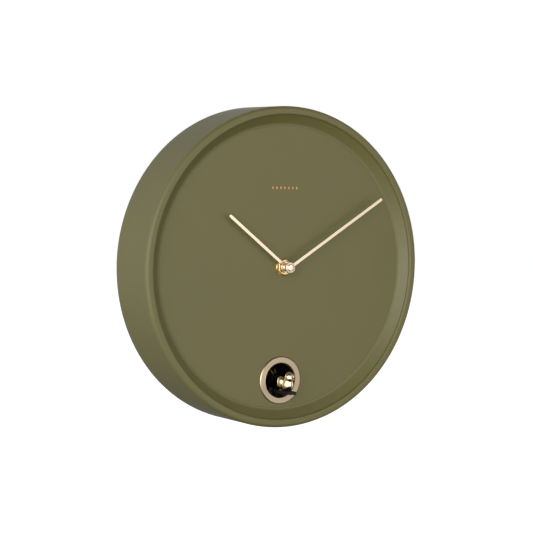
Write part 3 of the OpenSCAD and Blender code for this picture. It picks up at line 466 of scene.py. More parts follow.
def moulded(colour, rough=0.5, grain=0.35 * MM, depth=0.012 * MM, variation=0.05, specular=0.5):
    """Moulded plastic: a spark-eroded grain, soft flow marks and a few rubbed places."""
    def build(tree, place):
        flow = tree.noise(place, 14.0, 3.0, 0.55)
        rubbed = tree.ramp(tree.noise(place, 60.0, 4.0, 0.6), (0.45, 0.0), (0.75, 1.0))
        fine = tree.noise(place, 1 / grain, 2.0, 0.6)
        tone = tree.mix(flow, shade(colour, 1 - variation), shade(colour, 1 + variation))
        return {"Base Color": tree.mix(fine * 0.12, tone, shade(colour, 1.25)),
                "Roughness": rough + (flow - 0.5) * 0.06 - rubbed * 0.04,
                "Normal": tree.bump(fine, depth), "Specular IOR Level": specular}
    return build


def brushed(colour, rough=0.28, turn=(0, 0, 0), lines=(40.0, 4000.0, 4000.0), depth=0.004 * MM):
    """Metal brushed along its own X before the turn."""
    def build(tree, place):
        along = tree.stretched(place, lines, turn)
        streak = tree.noise(along, 1.0, 3.0, 0.65)
        tone = tree.noise(place, 35.0, 2.0)
        return {"Base Color": tree.mix(streak * 0.6 + tone * 0.25, shade(colour, 0.9), shade(colour, 1.06)),
                "Metallic": 1.0, "Roughness": rough + (streak - 0.5) * 0.16,
                "Normal": tree.bump(streak, depth)}
    return build


def ringed(colour, centre, rough=0.3, pitch=0.12 * MM, depth=0.003 * MM, axis=(1, 0, 1)):
    """Metal brushed in rings round a centre."""
    def build(tree, place):
        flat = tree.vector("MULTIPLY", tree.vector("SUBTRACT", place, tuple(centre))[0], axis)[0]
        radius = tree.vector("LENGTH", flat)["Value"]
        line = tree.node("ShaderNodeTexNoise", {"noise_dimensions": "1D"},
                         {"W": radius / pitch, "Scale": 1.0, "Detail": 3.0, "Roughness": 0.7})[0]
        around = tree.noise(flat, 180.0, 2.0)
        return {"Base Color": tree.mix(line * 0.7 + around * 0.2, shade(colour, 0.86), shade(colour, 1.08)),
                "Metallic": 1.0, "Roughness": rough + (line - 0.5) * 0.18,
                "Normal": tree.bump(line, depth)}
    return build


def plated(colour, rough=0.06, dull=None):
    """Polished plating with a faint haze and hairlines; it turns dull between two depths."""
    def build(tree, place):
        haze = tree.noise(place, 160.0, 3.0, 0.6)
        hair = tree.ramp(tree.noise(tree.stretched(place, (900, 5000, 1500), (0.5, 0.2, 0.9)), 1.0, 2.0),
                         (0.62, 0.0), (0.72, 1.0))
        soft = haze * 0.05 + hair * 0.05
        if dull:
            depth = tree.parts(place)[1]
            soft = soft + tree.ramp((depth - dull[0]) / (dull[1] - dull[0]), (0.0, 0.0), (1.0, 1.0)) * 0.4
        return {"Base Color": tree.mix(haze, shade(colour, 0.95), shade(colour, 1.04)),
                "Metallic": 1.0, "Roughness": rough + soft,
                "Normal": tree.bump(haze, 0.004 * MM)}
    return build


def cast_metal(colour, rough=0.5, scale=900.0, metallic=1.0, depth=0.01 * MM):
    """Plain sheet or sintered metal with a mottled skin."""
    def build(tree, place):
        skin = tree.noise(place, scale, 4.0, 0.6)
        stain = tree.ramp(tree.noise(place, 90.0, 3.0, 0.6), (0.4, 0.0), (0.8, 1.0))
        return {"Base Color": tree.mix(stain * 0.6 + skin * 0.3, shade(colour, 1.05), shade(colour, 0.8)),
                "Metallic": metallic, "Roughness": rough + (skin - 0.5) * 0.15,
                "Normal": tree.bump(skin, depth)}
    return build


def solder_mask(colour, copper):
    """Board with tracks under the mask and tinned pads."""
    def build(tree, place):
        x, _, z = tree.parts(place)
        tracks = []
        for value in (x, z):
            cell = value.maths("FRACT", value * 400.0)
            tracks.append((cell > 0.7) * (tree.noise(place, 130.0, 0.0) > 0.5))
        track = tracks[0].maths("MAXIMUM", tracks[0], tracks[1])
        pads = tree.node("ShaderNodeTexVoronoi", {"feature": "F1"}, {"Vector": place, "Scale": 260.0})[0]
        pad = pads < 0.22
        green = tree.mix(track, shade(colour, 1.0), shade(colour, 1.7))
        return {"Base Color": tree.mix(pad, green, tuple(copper) + (1.0,)), "Metallic": pad * 0.9,
                "Roughness": 0.3 + tree.noise(place, 500.0) * 0.15,
                "Normal": tree.bump(track + pad, 0.03 * MM)}
    return build


def pulp(colour):
    """Pressed paper: short fibres and a rough skin."""
    def build(tree, place):
        fibre = tree.noise(tree.stretched(place, (900, 900, 2600), (0.3, 0.9, 0.2)), 1.0, 4.0, 0.7)
        dust = tree.noise(place, 2200.0, 2.0)
        return {"Base Color": tree.mix(fibre, shade(colour, 0.7), shade(colour, 1.8)),
                "Roughness": 0.8 + dust * 0.15, "Normal": tree.bump(fibre + dust * 0.5, 0.04 * MM)}
    return build


def wrapper(colour, band, steel, start, length):
    """Cell: printed sleeve with a plain band, bare steel ends. start and length are along X."""
    def build(tree, place):
        x, _, _ = tree.parts(place)
        share = (x - start) / length
        end = share.maths("ABSOLUTE", share - 0.5) > 0.485
        stripe = share > 0.68
        scuff = tree.noise(place, 240.0, 3.0, 0.6)
        sleeve = tree.mix(stripe, shade(colour, 1.0), shade(band, 1.0))
        return {"Base Color": tree.mix(end, sleeve, shade(steel, 1.0)),
                "Metallic": end * 0.9 + (1 - end) * 0.3, "Roughness": 0.28 + scuff * 0.14,
                "Normal": tree.bump(scuff, 0.006 * MM)}
    return build


COLOURS = {
    "case": (0.114, 0.103, 0.031), "cover": (0.110, 0.100, 0.033), "mark": (0.62, 0.27, 0.10),
    "ring": (0.44, 0.345, 0.24), "hand": (0.86, 0.70, 0.52), "brass": (0.93, 0.66, 0.30),
    "gold": (0.95, 0.79, 0.50), "black": (0.006, 0.006, 0.006), "movement": (0.022, 0.022, 0.024),
    "lid": (0.035, 0.035, 0.038), "rubber": (0.02, 0.02, 0.02), "nylon": (0.80, 0.77, 0.68),
    "red": (0.55, 0.07, 0.04), "steel": (0.60, 0.60, 0.62), "basket": (0.06, 0.06, 0.065),
    "magnet": (0.12, 0.12, 0.125), "copper": (0.80, 0.33, 0.16), "bobbin": (0.05, 0.24, 0.12),
    "board": (0.012, 0.13, 0.045), "paper": (0.035, 0.035, 0.036), "parts": (0.02, 0.02, 0.022),
    "cell": (0.55, 0.56, 0.58), "band": (0.04, 0.06, 0.08), "button": (0.42, 0.38, 0.26),
    "plate": (0.72, 0.71, 0.67),
}


# Finish: how it is made, its colour and its settings
FINISHES = {
    "case": (moulded, "case"), "cover": (moulded, "cover", 0.55, 0.6 * MM, 0.03 * MM),
    "dial": (moulded, "case"), "hand": (brushed, "hand", 0.34, (0, 0, 0), (700.0, 700.0, 700.0)),
    "hand_turned": (ringed, "hand", AXIS, 0.25), "cap": (ringed, "hand", AXIS, 0.16),
    "nut": (ringed, "brass", AXIS, 0.22), "mark": (moulded, "mark", 0.4, 0.2 * MM, 0.003 * MM),
    "ring": (ringed, "ring", RING_AXIS, 0.3), "brass": (plated, "brass", 0.12),
    "gold": (plated, "gold", 0.03, (-43 * MM, -37 * MM)),
    "black": (moulded, "black", 0.6, 0.4 * MM, 0.01 * MM, 0.05, 0.25),
    "movement": (moulded, "movement", 0.4, 0.5 * MM, 0.02 * MM),
    "lid": (moulded, "lid", 0.3, 0.5 * MM, 0.015 * MM),
    "rubber": (moulded, "rubber", 0.75, 0.3 * MM, 0.02 * MM),
    "nylon": (moulded, "nylon", 0.4, 0.3 * MM, 0.006 * MM),
    "red": (moulded, "red", 0.4, 0.3 * MM, 0.006 * MM),
    "steel": (brushed, "steel", 0.32), "zinc": (cast_metal, "steel", 0.34),
    "basket": (cast_metal, "basket", 0.45, 1500, 0.2),
    "magnet": (cast_metal, "magnet", 0.6, 1400, 0.3, 0.03 * MM),
    "copper": (brushed, "copper", 0.25), "bobbin": (moulded, "bobbin", 0.5, 0.3 * MM, 0.01 * MM),
    "board": (solder_mask, "board", (0.75, 0.74, 0.7)), "paper": (pulp, "paper"),
    "parts": (moulded, "parts", 0.35, 0.15 * MM, 0.004 * MM),
    "button": (moulded, "button", 0.4, 0.3 * MM, 0.008 * MM),
    "plate": (moulded, "plate", 0.45, 0.4 * MM, 0.01 * MM),
}


def colour_property(name, key):
    return bpy.props.FloatVectorProperty(name=name, description=name + " colour", subtype="COLOR",
                                         size=3, min=0, max=1, default=COLOURS[key])


def length_property(name, description, default):
    return bpy.props.FloatProperty(name=name, description=description, default=default, min=0,
                                   unit="LENGTH", precision=4)


def angle_property(name, description, degrees):
    return bpy.props.FloatProperty(name=name, description=description, subtype="ANGLE",
                                   default=math.radians(degrees))


class ClockColours(bpy.types.PropertyGroup):
    case: colour_property("Case", "case")
    mark: colour_property("Dial mark", "mark")
    ring: colour_property("Bird ring", "ring")
    hand: colour_property("Hands", "hand")
    brass: colour_property("Nut and cap", "brass")
    gold: colour_property("Bird", "gold")


class ClockSizes(bpy.types.PropertyGroup):
    dial_recess: length_property("Dial recess", "Depth of the dial behind the rim's front", 9 * MM)
    dial_thickness: length_property("Dial thickness", "Thickness of the dial", 2.5 * MM)
    wall: length_property("Wall", "Thickness of the drum's wall", 2.5 * MM)
    rim: length_property("Rim", "Width of the rounded rim", 8.2 * MM)
    slope: length_property("Slope", "Width of the slope inside the rim", 9.8 * MM)
    rim_round: length_property("Rim rounding", "Radius of the rim's outer edge", 3.5 * MM)
    rim_roll: length_property("Rim roll", "Radius of the rim's inner edge", 2.2 * MM)
    dial_blend: length_property("Dial blend", "Radius between the dial and the slope", 6 * MM)
    ring_opening: length_property("Ring opening", "Radius of the opening inside the ring", 16 * MM)
    hand_width: length_property("Hand width", "Width of both hands", 2.9 * MM)
    hand_thickness: length_property("Hand thickness", "Thickness of both hands", 0.6 * MM)
    turns: bpy.props.IntProperty(name="Turns", description="Facets round the drum", default=256,
                                 min=48, max=512)


class ClockStage(bpy.types.PropertyGroup):
    azimuth: angle_property("Azimuth", "Camera's turn round the clock", -32.68)
    elevation: angle_property("Elevation", "Camera's height over the horizon", 2.747)
    roll: angle_property("Roll", "Camera's roll", 1.54)
    distance: length_property("Distance", "From the camera to its target", 1.65)
    lens: bpy.props.FloatProperty(name="Lens", description="Focal length in millimetres",
                                  default=117.74, min=10)
    target_depth: length_property("Target depth", "How far in front of the wall the camera aims", 0.026)
    shift_right: bpy.props.FloatProperty(name="Shift right", description="Lens shift", default=-0.0068)
    shift_up: bpy.props.FloatProperty(name="Shift up", description="Lens shift", default=-0.0015)
    floor_drop: length_property("Floor drop", "Floor's depth below the origin", 0.9)


def sizes():
    return bpy.context.scene.clock_sizes


def stock(key):
    """The finish of that name, made when it is first asked for."""
    build, name, *settings = FINISHES[key]
    colour = getattr(bpy.context.scene.clock_colours, name, COLOURS[name])
    return finish("Clock " + key, build(colour, *settings))


# ---- helpers for pieces
def dress(key, *nodes):
    """CAD nodes that stay get a finish."""
    for node in nodes:
        for one in NODES[node].material_slots:
            one.material = stock(key)


def front(node):
    """How far a CAD node reaches out of the wall."""
    return -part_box(node)[0].y


def rear(node):
    return -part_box(node)[1].y


def scaled(outline, shift=0.0):
    """An outline in millimetres, as (radius, level, fillet) in metres."""
    return [(r * MM, (z + shift) * MM, fillet * MM) for r, z, fillet in outline]


# ---- case
class CLOCK_OT_drum(bpy.types.Operator):
    """Drum, rim and slope as one turned moulding, with the ledge for the dial"""
    bl_idname = "clock.drum"
    bl_label = "Drum"

    def execute(self, context):
        s = sizes()
        dial = CASE_DEPTH - s.dial_recess
        back = dial - s.dial_thickness
        inner = CASE_RADIUS - s.rim
        foot = inner - s.slope
        cavity = CASE_RADIUS - s.wall
        crest = CASE_DEPTH - s.rim_round
        low = s.wall / 2
        blend = s.dial_blend * 0.31
        outline = [
            (foot, back, 0), (foot, dial, 0.05 * MM), (foot + blend, dial, s.dial_blend),
            (inner - 0.4 * MM, CASE_DEPTH - s.rim_roll - 0.3 * MM, 0.5 * MM),
            (inner, CASE_DEPTH - s.rim_roll, 0.4 * MM), (inner, CASE_DEPTH, s.rim_roll - 0.1 * MM),
            (CASE_RADIUS, CASE_DEPTH, s.rim_round), (CASE_RADIUS, 0, 0.4 * MM),
            (cavity, 0, 0.3 * MM), (cavity, crest - low, 0.6 * MM), (cavity - low, crest, 0.4 * MM),
            (inner + s.rim_roll + 0.4 * MM, crest, 0.4 * MM),
            (inner + 1.5 * MM, crest - low - 0.4 * MM, 0.6 * MM), (foot + 1.2 * MM, back, 0.6 * MM),
            (foot + 1.2 * MM, back - 1.5 * MM, 0.2 * MM), (foot - 2.5 * MM, back - 1.5 * MM, 0.2 * MM),
            (foot - 2.5 * MM, back, 0.2 * MM)]
        made = turned("drum", outline, stock("case"), AXIS, s.turns, 7, angle=38)
        keep(made, "case", "case", "case_shell")
        return {"FINISHED"}


class CLOCK_OT_dial(bpy.types.Operator):
    """Dial disc with its screw bosses and its two holes"""
    bl_idname = "clock.dial"
    bl_label = "Dial"

    def execute(self, context):
        s = sizes()
        top = CASE_DEPTH - s.dial_recess
        back = top - s.dial_thickness
        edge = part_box("dial")[1].x
        bush = 5.15 * MM
        outline = [(bush, top, 0.3 * MM), (edge, top, 0.06 * MM), (edge, back, 0.2 * MM),
                   (bush, back, 0.2 * MM)]
        path = (edge + bush) / 2
        points = [(r - path, -z, 0) for r, z, _ in outline]
        fillet = [p[2] for p in outline]
        bosses, bores = [], []
        cover_front = rear("bird_shroud") - 0.5 * MM
        circle, hole, sunk = 0.125, 1.5 * MM, 1.2 * MM    # cover screws' circle, bores' radius, overlap
        for number in range(6):
            turn = math.tau * number / 6
            spot = (circle * math.cos(turn), AXIS_Z + circle * math.sin(turn))
            bosses.append((spot, cover_front, back + sunk, 4 * MM))
            bores.append((spot, cover_front - 1 * MM, cover_front + 12 * MM, hole))
        for x, up in ((-29, 18), (29, 18), (-29, -15.5)):
            spot = (x * MM, RING_Z + up * MM)
            bosses.append((spot, back - 6 * MM, back + sunk, 3.4 * MM))
            bores.append((spot, back - 7 * MM, back - 0.5 * MM, hole))
        bores.append(((0, RING_Z), back - 1 * MM, top + 1 * MM, s.ring_opening + 1.5 * MM))
        size, boss, bore = [(0, 0, 0)] * 4, [0] * 4, [0] * 4
        for group, is_boss in ((bosses, 1), (bores, 0)):
            for (x, z), low, high, radius in group:
                points.append((x, -(low + high) / 2, z))
                size.append((radius, radius, high - low))
                fillet.append(0)
                boss.append(is_boss)
                bore.append(1 - is_boss)
        start = mesh_object("dial_disc", points, edges=[(0, 1), (1, 2), (2, 3), (3, 0)])
        attribute(start, "fillet", "FLOAT", fillet)
        attribute(start, "size", "FLOAT_VECTOR", size)
        attribute(start, "boss_radius", "FLOAT", boss)
        attribute(start, "bore_radius", "FLOAT", bore)
        made = cooked("dial_disc", start, drum_recipe(), stock("dial"), Path=path, Turns=s.turns,
                      Steps=4, Shift=AXIS)
        keep(weighted(smooth(outward(made), 30)), "case", "case", "dial")
        return {"FINISHED"}


class CLOCK_OT_ring(bpy.types.Operator):
    """Brushed ring round the bird's hole"""
    bl_idname = "clock.ring"
    bl_label = "Bird ring"

    def execute(self, context):
        inner, outer = sizes().ring_opening, (RING_HIGH.x - RING_LOW.x) / 2
        top, low = front("bird_ring"), rear("bird_ring")
        dial = CASE_DEPTH - sizes().dial_recess
        sleeve = inner + 1.4 * MM
        outline = [(inner, low, 0.15 * MM), (sleeve, low, 0.15 * MM), (sleeve, dial, 0.0),
                   (outer, dial, 0.05 * MM), (outer, top - 0.75 * MM, 0.2 * MM),
                   (outer - 0.75 * MM, top, 0.22 * MM), (inner + 0.75 * MM, top, 0.15 * MM),
                   (inner, top - 0.8 * MM, 0.15 * MM)]
        made = turned("ring_plate", outline, stock("ring"), RING_AXIS, 160, 4)
        keep(made, "case", "ring", "bird_ring")
        return {"FINISHED"}


class CLOCK_OT_mark(bpy.types.Operator):
    """Row of small printed lozenges under the twelve"""
    bl_idname = "clock.mark"
    bl_label = "Dial mark"

    def execute(self, context):
        low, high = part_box("dial_motif")
        count = 7
        width = 1.8 * MM
        step = (high.x - low.x - width) / (count - 1)
        start = mesh_object("dial_mark", [(0, 0, 0)])
        made = cooked("dial_mark", start, mark_recipe(), stock("mark"), Count=count, Step=(step, 0.0, 0.0),
                      Width=width, Height=high.z - low.z, Relief=high.y - low.y,
                      Start=(low.x + width / 2, high.y, (low.z + high.z) / 2))
        keep(smooth(outward(made), 20), "case", "motif", "dial_motif")
        return {"FINISHED"}


# ---- hands
def blade(name, node, low, material):
    """Flat hand with a round tip and softened edges, laid where the CAD hand points."""
    s = sizes()
    places = np.array([v.co for v in NODES[node].data.vertices])
    flat = places[:, [0, 2]] - (0, AXIS_Z)
    far = flat[np.argmax(np.hypot(*flat.T))]
    length = float(np.hypot(*far))
    along = Vector((far[0], 0, far[1])).normalized()
    across = Vector((along.z, 0, -along.x))
    half = s.hand_width / 2
    outline = [(-half, 2.5 * MM), (half, 2.5 * MM)]
    for number in range(25):
        turn = math.pi * number / 24
        outline.append((half * math.cos(turn), length - half + half * math.sin(turn)))
    work = bmesh.new()
    rim = [work.verts.new(Vector((0, -low, AXIS_Z)) + across * a + along * b) for a, b in outline]
    face = work.faces.new(rim)
    grown = bmesh.ops.extrude_face_region(work, geom=[face])
    top = [g for g in grown["geom"] if isinstance(g, bmesh.types.BMVert)]
    bmesh.ops.translate(work, verts=top, vec=(0, -s.hand_thickness, 0))
    bmesh.ops.recalc_face_normals(work, faces=work.faces)
    wide = [e for e in work.edges if e.calc_face_angle(0) > 0.8]
    bmesh.ops.bevel(work, geom=wide, offset=0.13 * MM, segments=3, profile=0.6, affect="EDGES")
    mesh = bpy.data.meshes.new(name)
    work.to_mesh(mesh)
    work.free()
    made = linked(name, mesh)
    mesh.materials.append(material)
    return weighted(smooth(made, 32))


class CLOCK_OT_hands(bpy.types.Operator):
    """Two flat hands with their turned collets"""
    bl_idname = "clock.hands"
    bl_label = "Hands"

    def execute(self, context):
        tube = 2.5 * MM
        base = rear("hour_hand") / MM
        flat = blade("hour_blade", "hour_hand", (base + 0.9) * MM, stock("hand"))
        collet = turned("hour_collet", scaled([
            (tube / MM, 0, .1), (5.5, 0, .2), (5.5, 1.7, .4), (3.75, 1.7, .15), (3.6, 1.9, .15),
            (3.6, 3.6, .25), (tube / MM, 3.6, .15)], base), stock("hand_turned"), AXIS, 96, 4)
        keep(joined_two("hour_hand_finished", flat, collet), "hour_set", "hand", "hour_hand")
        base = rear("minute_hand") / MM
        flat = blade("minute_blade", "minute_hand", (base + 2.6) * MM, stock("hand"))
        collet = turned("minute_collet", scaled([
            (1.6, 0, .1), (3.6, 0, .25), (3.6, 2.1, .1), (3.75, 2.3, .15), (5.1, 2.3, .3), (5.1, 3.9, .35),
            (4.5, 3.9, .12), (4.35, 3.3, .1), (3.5, 3.3, .1), (3.42, 3.9, .02), (1.6, 3.9, .05)], base),
            stock("hand_turned"), AXIS, 96, 4)
        keep(joined_two("minute_hand_finished", flat, collet), "minute_set", "hand", "minute_hand")
        base = rear("hand_cap") / MM
        cap = turned("hand_cap_finished", scaled([
            (0, 0, 0), (3.4, 0, .05), (3.4, 1.25, .35), (2.9, 1.7, .5), (1.2, 1.8, .4), (0, 1.8, 0)], base),
            stock("cap"), AXIS, 96, 5)
        keep(cap, "minute_set", "brass", "hand_cap")
        return {"FINISHED"}


def joined_two(name, first, second):
    """Joins two pieces with different finishes, keeping both."""
    bpy.ops.object.select_all(action="DESELECT")
    for one in (first, second):
        one.select_set(True)
    bpy.context.view_layer.objects.active = first
    bpy.ops.object.join()
    first.name = first.data.name = name
    return first


class CLOCK_OT_nut(bpy.types.Operator):
    """Hexagonal nut with turned chamfers, and its washer"""
    bl_idname = "clock.nut"
    bl_label = "Nut and washer"

    def execute(self, context):
        low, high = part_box("movement_nut")
        flats, base, top = (high.x - low.x) / 2, -high.y, -low.y
        bore, ease = 5.0 * MM, 0.35 * MM
        turn = math.radians(30)
        crown = flats * 0.97
        slope = math.tan(turn)
        steps = 24
        loops = []
        for number in range(6 * steps):
            a = math.tau * number / (6 * steps)
            corner = flats / math.cos((a + math.pi / 6) % (math.pi / 3) - math.pi / 6)
            drop = (corner - crown) * slope
            loops.append([(bore, base + ease, a), (bore + ease, base, a), (crown, base, a),
                          (corner, base + drop, a), (corner, top - drop, a), (crown, top, a),
                          (bore + ease, top, a), (bore, top - ease, a)])
        points, faces, size = [], [], len(loops[0])
        for loop in loops:
            points += [(r * math.cos(a), -z, AXIS_Z + r * math.sin(a)) for r, z, a in loop]
        for number in range(len(loops)):
            after = (number + 1) % len(loops)
            for k in range(size):
                k2 = (k + 1) % size
                faces.append((number * size + k, number * size + k2, after * size + k2, after * size + k))
        made = mesh_object("nut", points, faces)
        made.data.materials.append(stock("nut"))
        with edited(made) as work:
            bmesh.ops.recalc_face_normals(work, faces=work.faces)
            bmesh.ops.dissolve_limit(work, angle_limit=math.radians(0.4), verts=work.verts, edges=work.edges)
            wide = [e for e in work.edges if len(e.link_faces) == 2 and e.calc_face_angle(0) > 0.3
                    and min(math.hypot(v.co.x, v.co.z - AXIS_Z) for v in e.verts) > bore + 2 * ease]
            bmesh.ops.bevel(work, geom=wide, offset=0.12 * MM, segments=2, profile=0.5, affect="EDGES",
                            clamp_overlap=True)
        keep(weighted(smooth(made, 22)), "case", "brass", "movement_nut")
        low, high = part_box("movement_washer")
        outer = (high.x - low.x) / 2
        outline = [(5.1 * MM, -high.y, 0.05 * MM), (outer, -high.y, 0.05 * MM), (outer, -low.y, 0.2 * MM),
                   (5.1 * MM, -low.y, 0.05 * MM)]
        made = turned("washer", outline, stock("nut"), AXIS, 96, 3)
        keep(made, "case", "brass", "movement_washer")
        return {"FINISHED"}


# ---- bird
def capsule(points, first, last, near, far):
    """Signed distance to a rod whose radius changes from one end to the other."""
    first, last = np.array(first, float), np.array(last, float)
    line = last - first
    share = np.clip((points - first) @ line / (line @ line), 0, 1)
    return np.linalg.norm(points - first - share[:, None] * line, axis=1) - near - (far - near) * share


def ball(points, centre, radii):
    """Signed distance to an ellipsoid, right close to its surface."""
    radii = np.array(radii, float)
    local = (points - centre) / radii
    size = np.linalg.norm(local, axis=1)
    return size * (size - 1) / np.maximum(np.linalg.norm(local / radii, axis=1), 1e-6)


def merge(first, second, width):
    """Union of two shapes with a fillet between them."""
    ease = np.maximum(width - np.abs(first - second), 0) / width
    return np.minimum(first, second) - ease * ease * width / 4


def bird_field(points):
    """Signed distance to the bird, in millimetres: x, behind the perch's tip, over the perch."""
    side = points.copy()
    side[:, 0] = np.abs(side[:, 0])
    body = ball(points, (0, 24.6, 7.5), (6.1, 7.8, 6.2))
    body = merge(body, ball(points, (0, 12.4, 6.0), (5.4, 5.6, 5.4)), 3.0)
    body = merge(body, capsule(points, (0, 14, 6.4), (0, 24, 7.2), 4.8, 5.2), 2.0)
    body = merge(body, capsule(points, (0, 28, 8.4), (0, 34, 11.8), 4.4, 1.6), 2.5)
    body = merge(body, capsule(points, (0, 12.6, 8.0), (0, 10.6, 13.2), 4.4, 3.8), 2.0)
    body = merge(body, ball(points, (0, 10.0, 13.4), (4.6, 4.9, 4.6)), 0.9)
    body = merge(body, capsule(points, (0, 7.2, 12.8), (0, 2.2, 11.7), 1.9, 0.35), 0.9)
    body = merge(body, capsule(side, (0.6, 33, 11.6), (2.6, 39.2, 17.6), 1.25, 0.7), 0.9)
    wing = ball(side, (4.2, 19.8, 8.3), (3.8, 6.8, 5.7))
    wing = merge(wing, capsule(side, (4.4, 26, 8.8), (2.5, 35.2, 10.4), 2.6, 0.7), 1.2)
    body = merge(body, wing, 0.5)
    body = merge(body, ball(side, (4.0, 8.2, 14.5), (0.8, 0.8, 0.8)), 0.25)
    return merge(body, capsule(points, (0, 23.5, 0.2), (0, 23.5, 3.0), 2.2, 2.2), 1.0)


def surface(field, low, high, step):
    """Quad mesh of a signed field's zero level, one vertex in each cell it passes."""
    counts = [int(round((h - l) / step)) + 1 for l, h in zip(low, high)]
    axes = [l + step * np.arange(n) for l, n in zip(low, counts)]
    grid = np.stack(np.meshgrid(*axes, indexing="ij"), -1).reshape(-1, 3)
    value = field(grid).reshape(counts)
    inside = value < 0
    cells = [n - 1 for n in counts]
    total, weight = np.zeros(cells + [3]), np.zeros(cells)

    def part(array, corner):
        return array[tuple(slice(c, c + n) for c, n in zip(corner, cells))]

    corners = [(a, b, c) for a in (0, 1) for b in (0, 1) for c in (0, 1)]
    for first in corners:
        for axis in range(3):
            if first[axis]:
                continue
            last = tuple(1 if k == axis else first[k] for k in range(3))
            v0, v1 = part(value, first), part(value, last)
            crosses = part(inside, first) != part(inside, last)
            share = np.where(crosses, v0 / np.where(crosses, v0 - v1, 1), 0)
            for k in range(3):
                total[..., k] += np.where(crosses, first[k] + (share if k == axis else 0), 0)
            weight += crosses
    active = weight > 0
    number = -np.ones(cells, int)
    number[active] = np.arange(active.sum())
    spots = np.argwhere(active) + total[active] / weight[active][:, None]
    points = np.array(low) + spots * step
    faces = []
    for axis in range(3):
        one, two = (axis + 1) % 3, (axis + 2) % 3
        ahead = np.roll(inside, -1, axis) != inside
        edge = np.argwhere(ahead)
        edge = edge[(edge[:, axis] < cells[axis]) & (edge[:, one] > 0) & (edge[:, two] > 0)
                    & (edge[:, one] < cells[one]) & (edge[:, two] < cells[two])]
        around = []
        for a, b in ((0, 0), (1, 0), (1, 1), (0, 1)):
            cell = edge.copy()
            cell[:, one] -= a
            cell[:, two] -= b
            around.append(number[tuple(cell.T)])
        faces.append(np.stack(around, 1))
    nudge = 1e-3
    for _ in range(3):
        here = field(points)
        slope = np.stack([field(points + d) - here for d in np.eye(3) * nudge], 1) / nudge
        points = points - slope * (here / np.maximum((slope ** 2).sum(1), 0.2))[:, None] * 0.8
    return points, np.concatenate(faces)


class CLOCK_OT_bird(bpy.types.Operator):
    """Plated bird on its perch"""
    bl_idname = "clock.bird"
    bl_label = "Bird"

    def execute(self, context):
        low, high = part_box("perch_carriage")
        tip, top = -low.y / MM, high.z / MM
        points, faces = surface(bird_field, (-8, 0.9, -0.6), (8, 41.5, 19.5), 0.32)
        points[:, 2] = np.maximum(points[:, 2], 0)
        places = np.stack([points[:, 0], points[:, 1] - tip, points[:, 2] + top], 1) * MM
        made = mesh_object("bird_body", places, faces.tolist())
        made.data.materials.append(stock("gold"))
        outward(made)
        made.data.shade_smooth()
        keep(made, "bird_carriage", "gold", "bird")
        keep(eased("perch_carriage", stock("black"), 0.22 * MM), "bird_carriage", "black", "perch_carriage")
        return {"FINISHED"}


# ---- fasteners
TO_BACK, TO_FRONT = (-math.pi / 2, 0.0, 0.0), FRONT_TURN
TO_RIGHT, TO_FLOOR = (0.0, math.pi / 2, 0.0), (math.pi, 0.0, 0.0)
HEAD_SIDE = {TO_BACK: (1, 1), TO_FRONT: (1, -1), TO_RIGHT: (0, 1), TO_FLOOR: (2, -1)}


def screws(name, boxes, turn, head, shank, body, *nodes):
    """Screws that fill the boxes; head and shank are the head's height and the shank's radius."""
    axis, side = HEAD_SIDE[turn]
    cross = (axis + 1) % 3
    low, high = boxes[0]
    spots = []
    for a, b in boxes:
        spot = (a + b) / 2
        spot[axis] = (b if side > 0 else a)[axis] - side * head
        spots.append(spot)
    start = mesh_object(name, spots)
    made = cooked(name, start, bpy.data.node_groups.get("Screws") or screw_recipe(), stock("zinc"),
                  HeadRadius=(high[cross] - low[cross]) / 2, HeadHeight=head, ShankRadius=shank,
                  Length=high[axis] - low[axis] - head, Pitch=shank * 0.8, Turn=tuple(turn))
    return keep(smooth(outward(made), 35), body, "steel", *nodes)


def parted(boxes, axis, limit=5 * MM):
    """The boxes wider than the limit along an axis, and the others."""
    wide = [b[1][axis] - b[0][axis] > limit for b in boxes]
    return [b for b, w in zip(boxes, wide) if w], [b for b, w in zip(boxes, wide) if not w]


class CLOCK_OT_screws(bpy.types.Operator):
    """Every screw: cover, hanger, gearbox, module, speaker, board and bird"""
    bl_idname = "clock.screws"
    bl_label = "Screws"

    def execute(self, context):
        long, short = parted(solids("back_screws"), 0)
        screws("cover_screws", long, TO_BACK, 1.6 * MM, 1.4 * MM, "case", "back_screws")
        screws("hanger_screws", short, TO_BACK, 0.9 * MM, 1.2 * MM, "case")
        large, small = parted(solids("module_screws"), 2)
        screws("gearbox_screws", small, TO_RIGHT, 1.0 * MM, 0.85 * MM, "case", "module_screws")
        screws("shroud_screws", large, TO_BACK, 1.6 * MM, 1.4 * MM, "case")
        screws("cone_screws", solids("speaker_screws"), TO_FRONT, 1.4 * MM, 1.1 * MM, "case", "speaker_screws")
        screws("circuit_screws", solids("board_screws"), TO_FRONT, 1.3 * MM, 1.05 * MM, "case", "board_screws")
        screws("perch_screw", solids("bird_screw"), TO_FLOOR, 0.9 * MM, 1.0 * MM, "bird_carriage", "bird_screw")
        return {"FINISHED"}


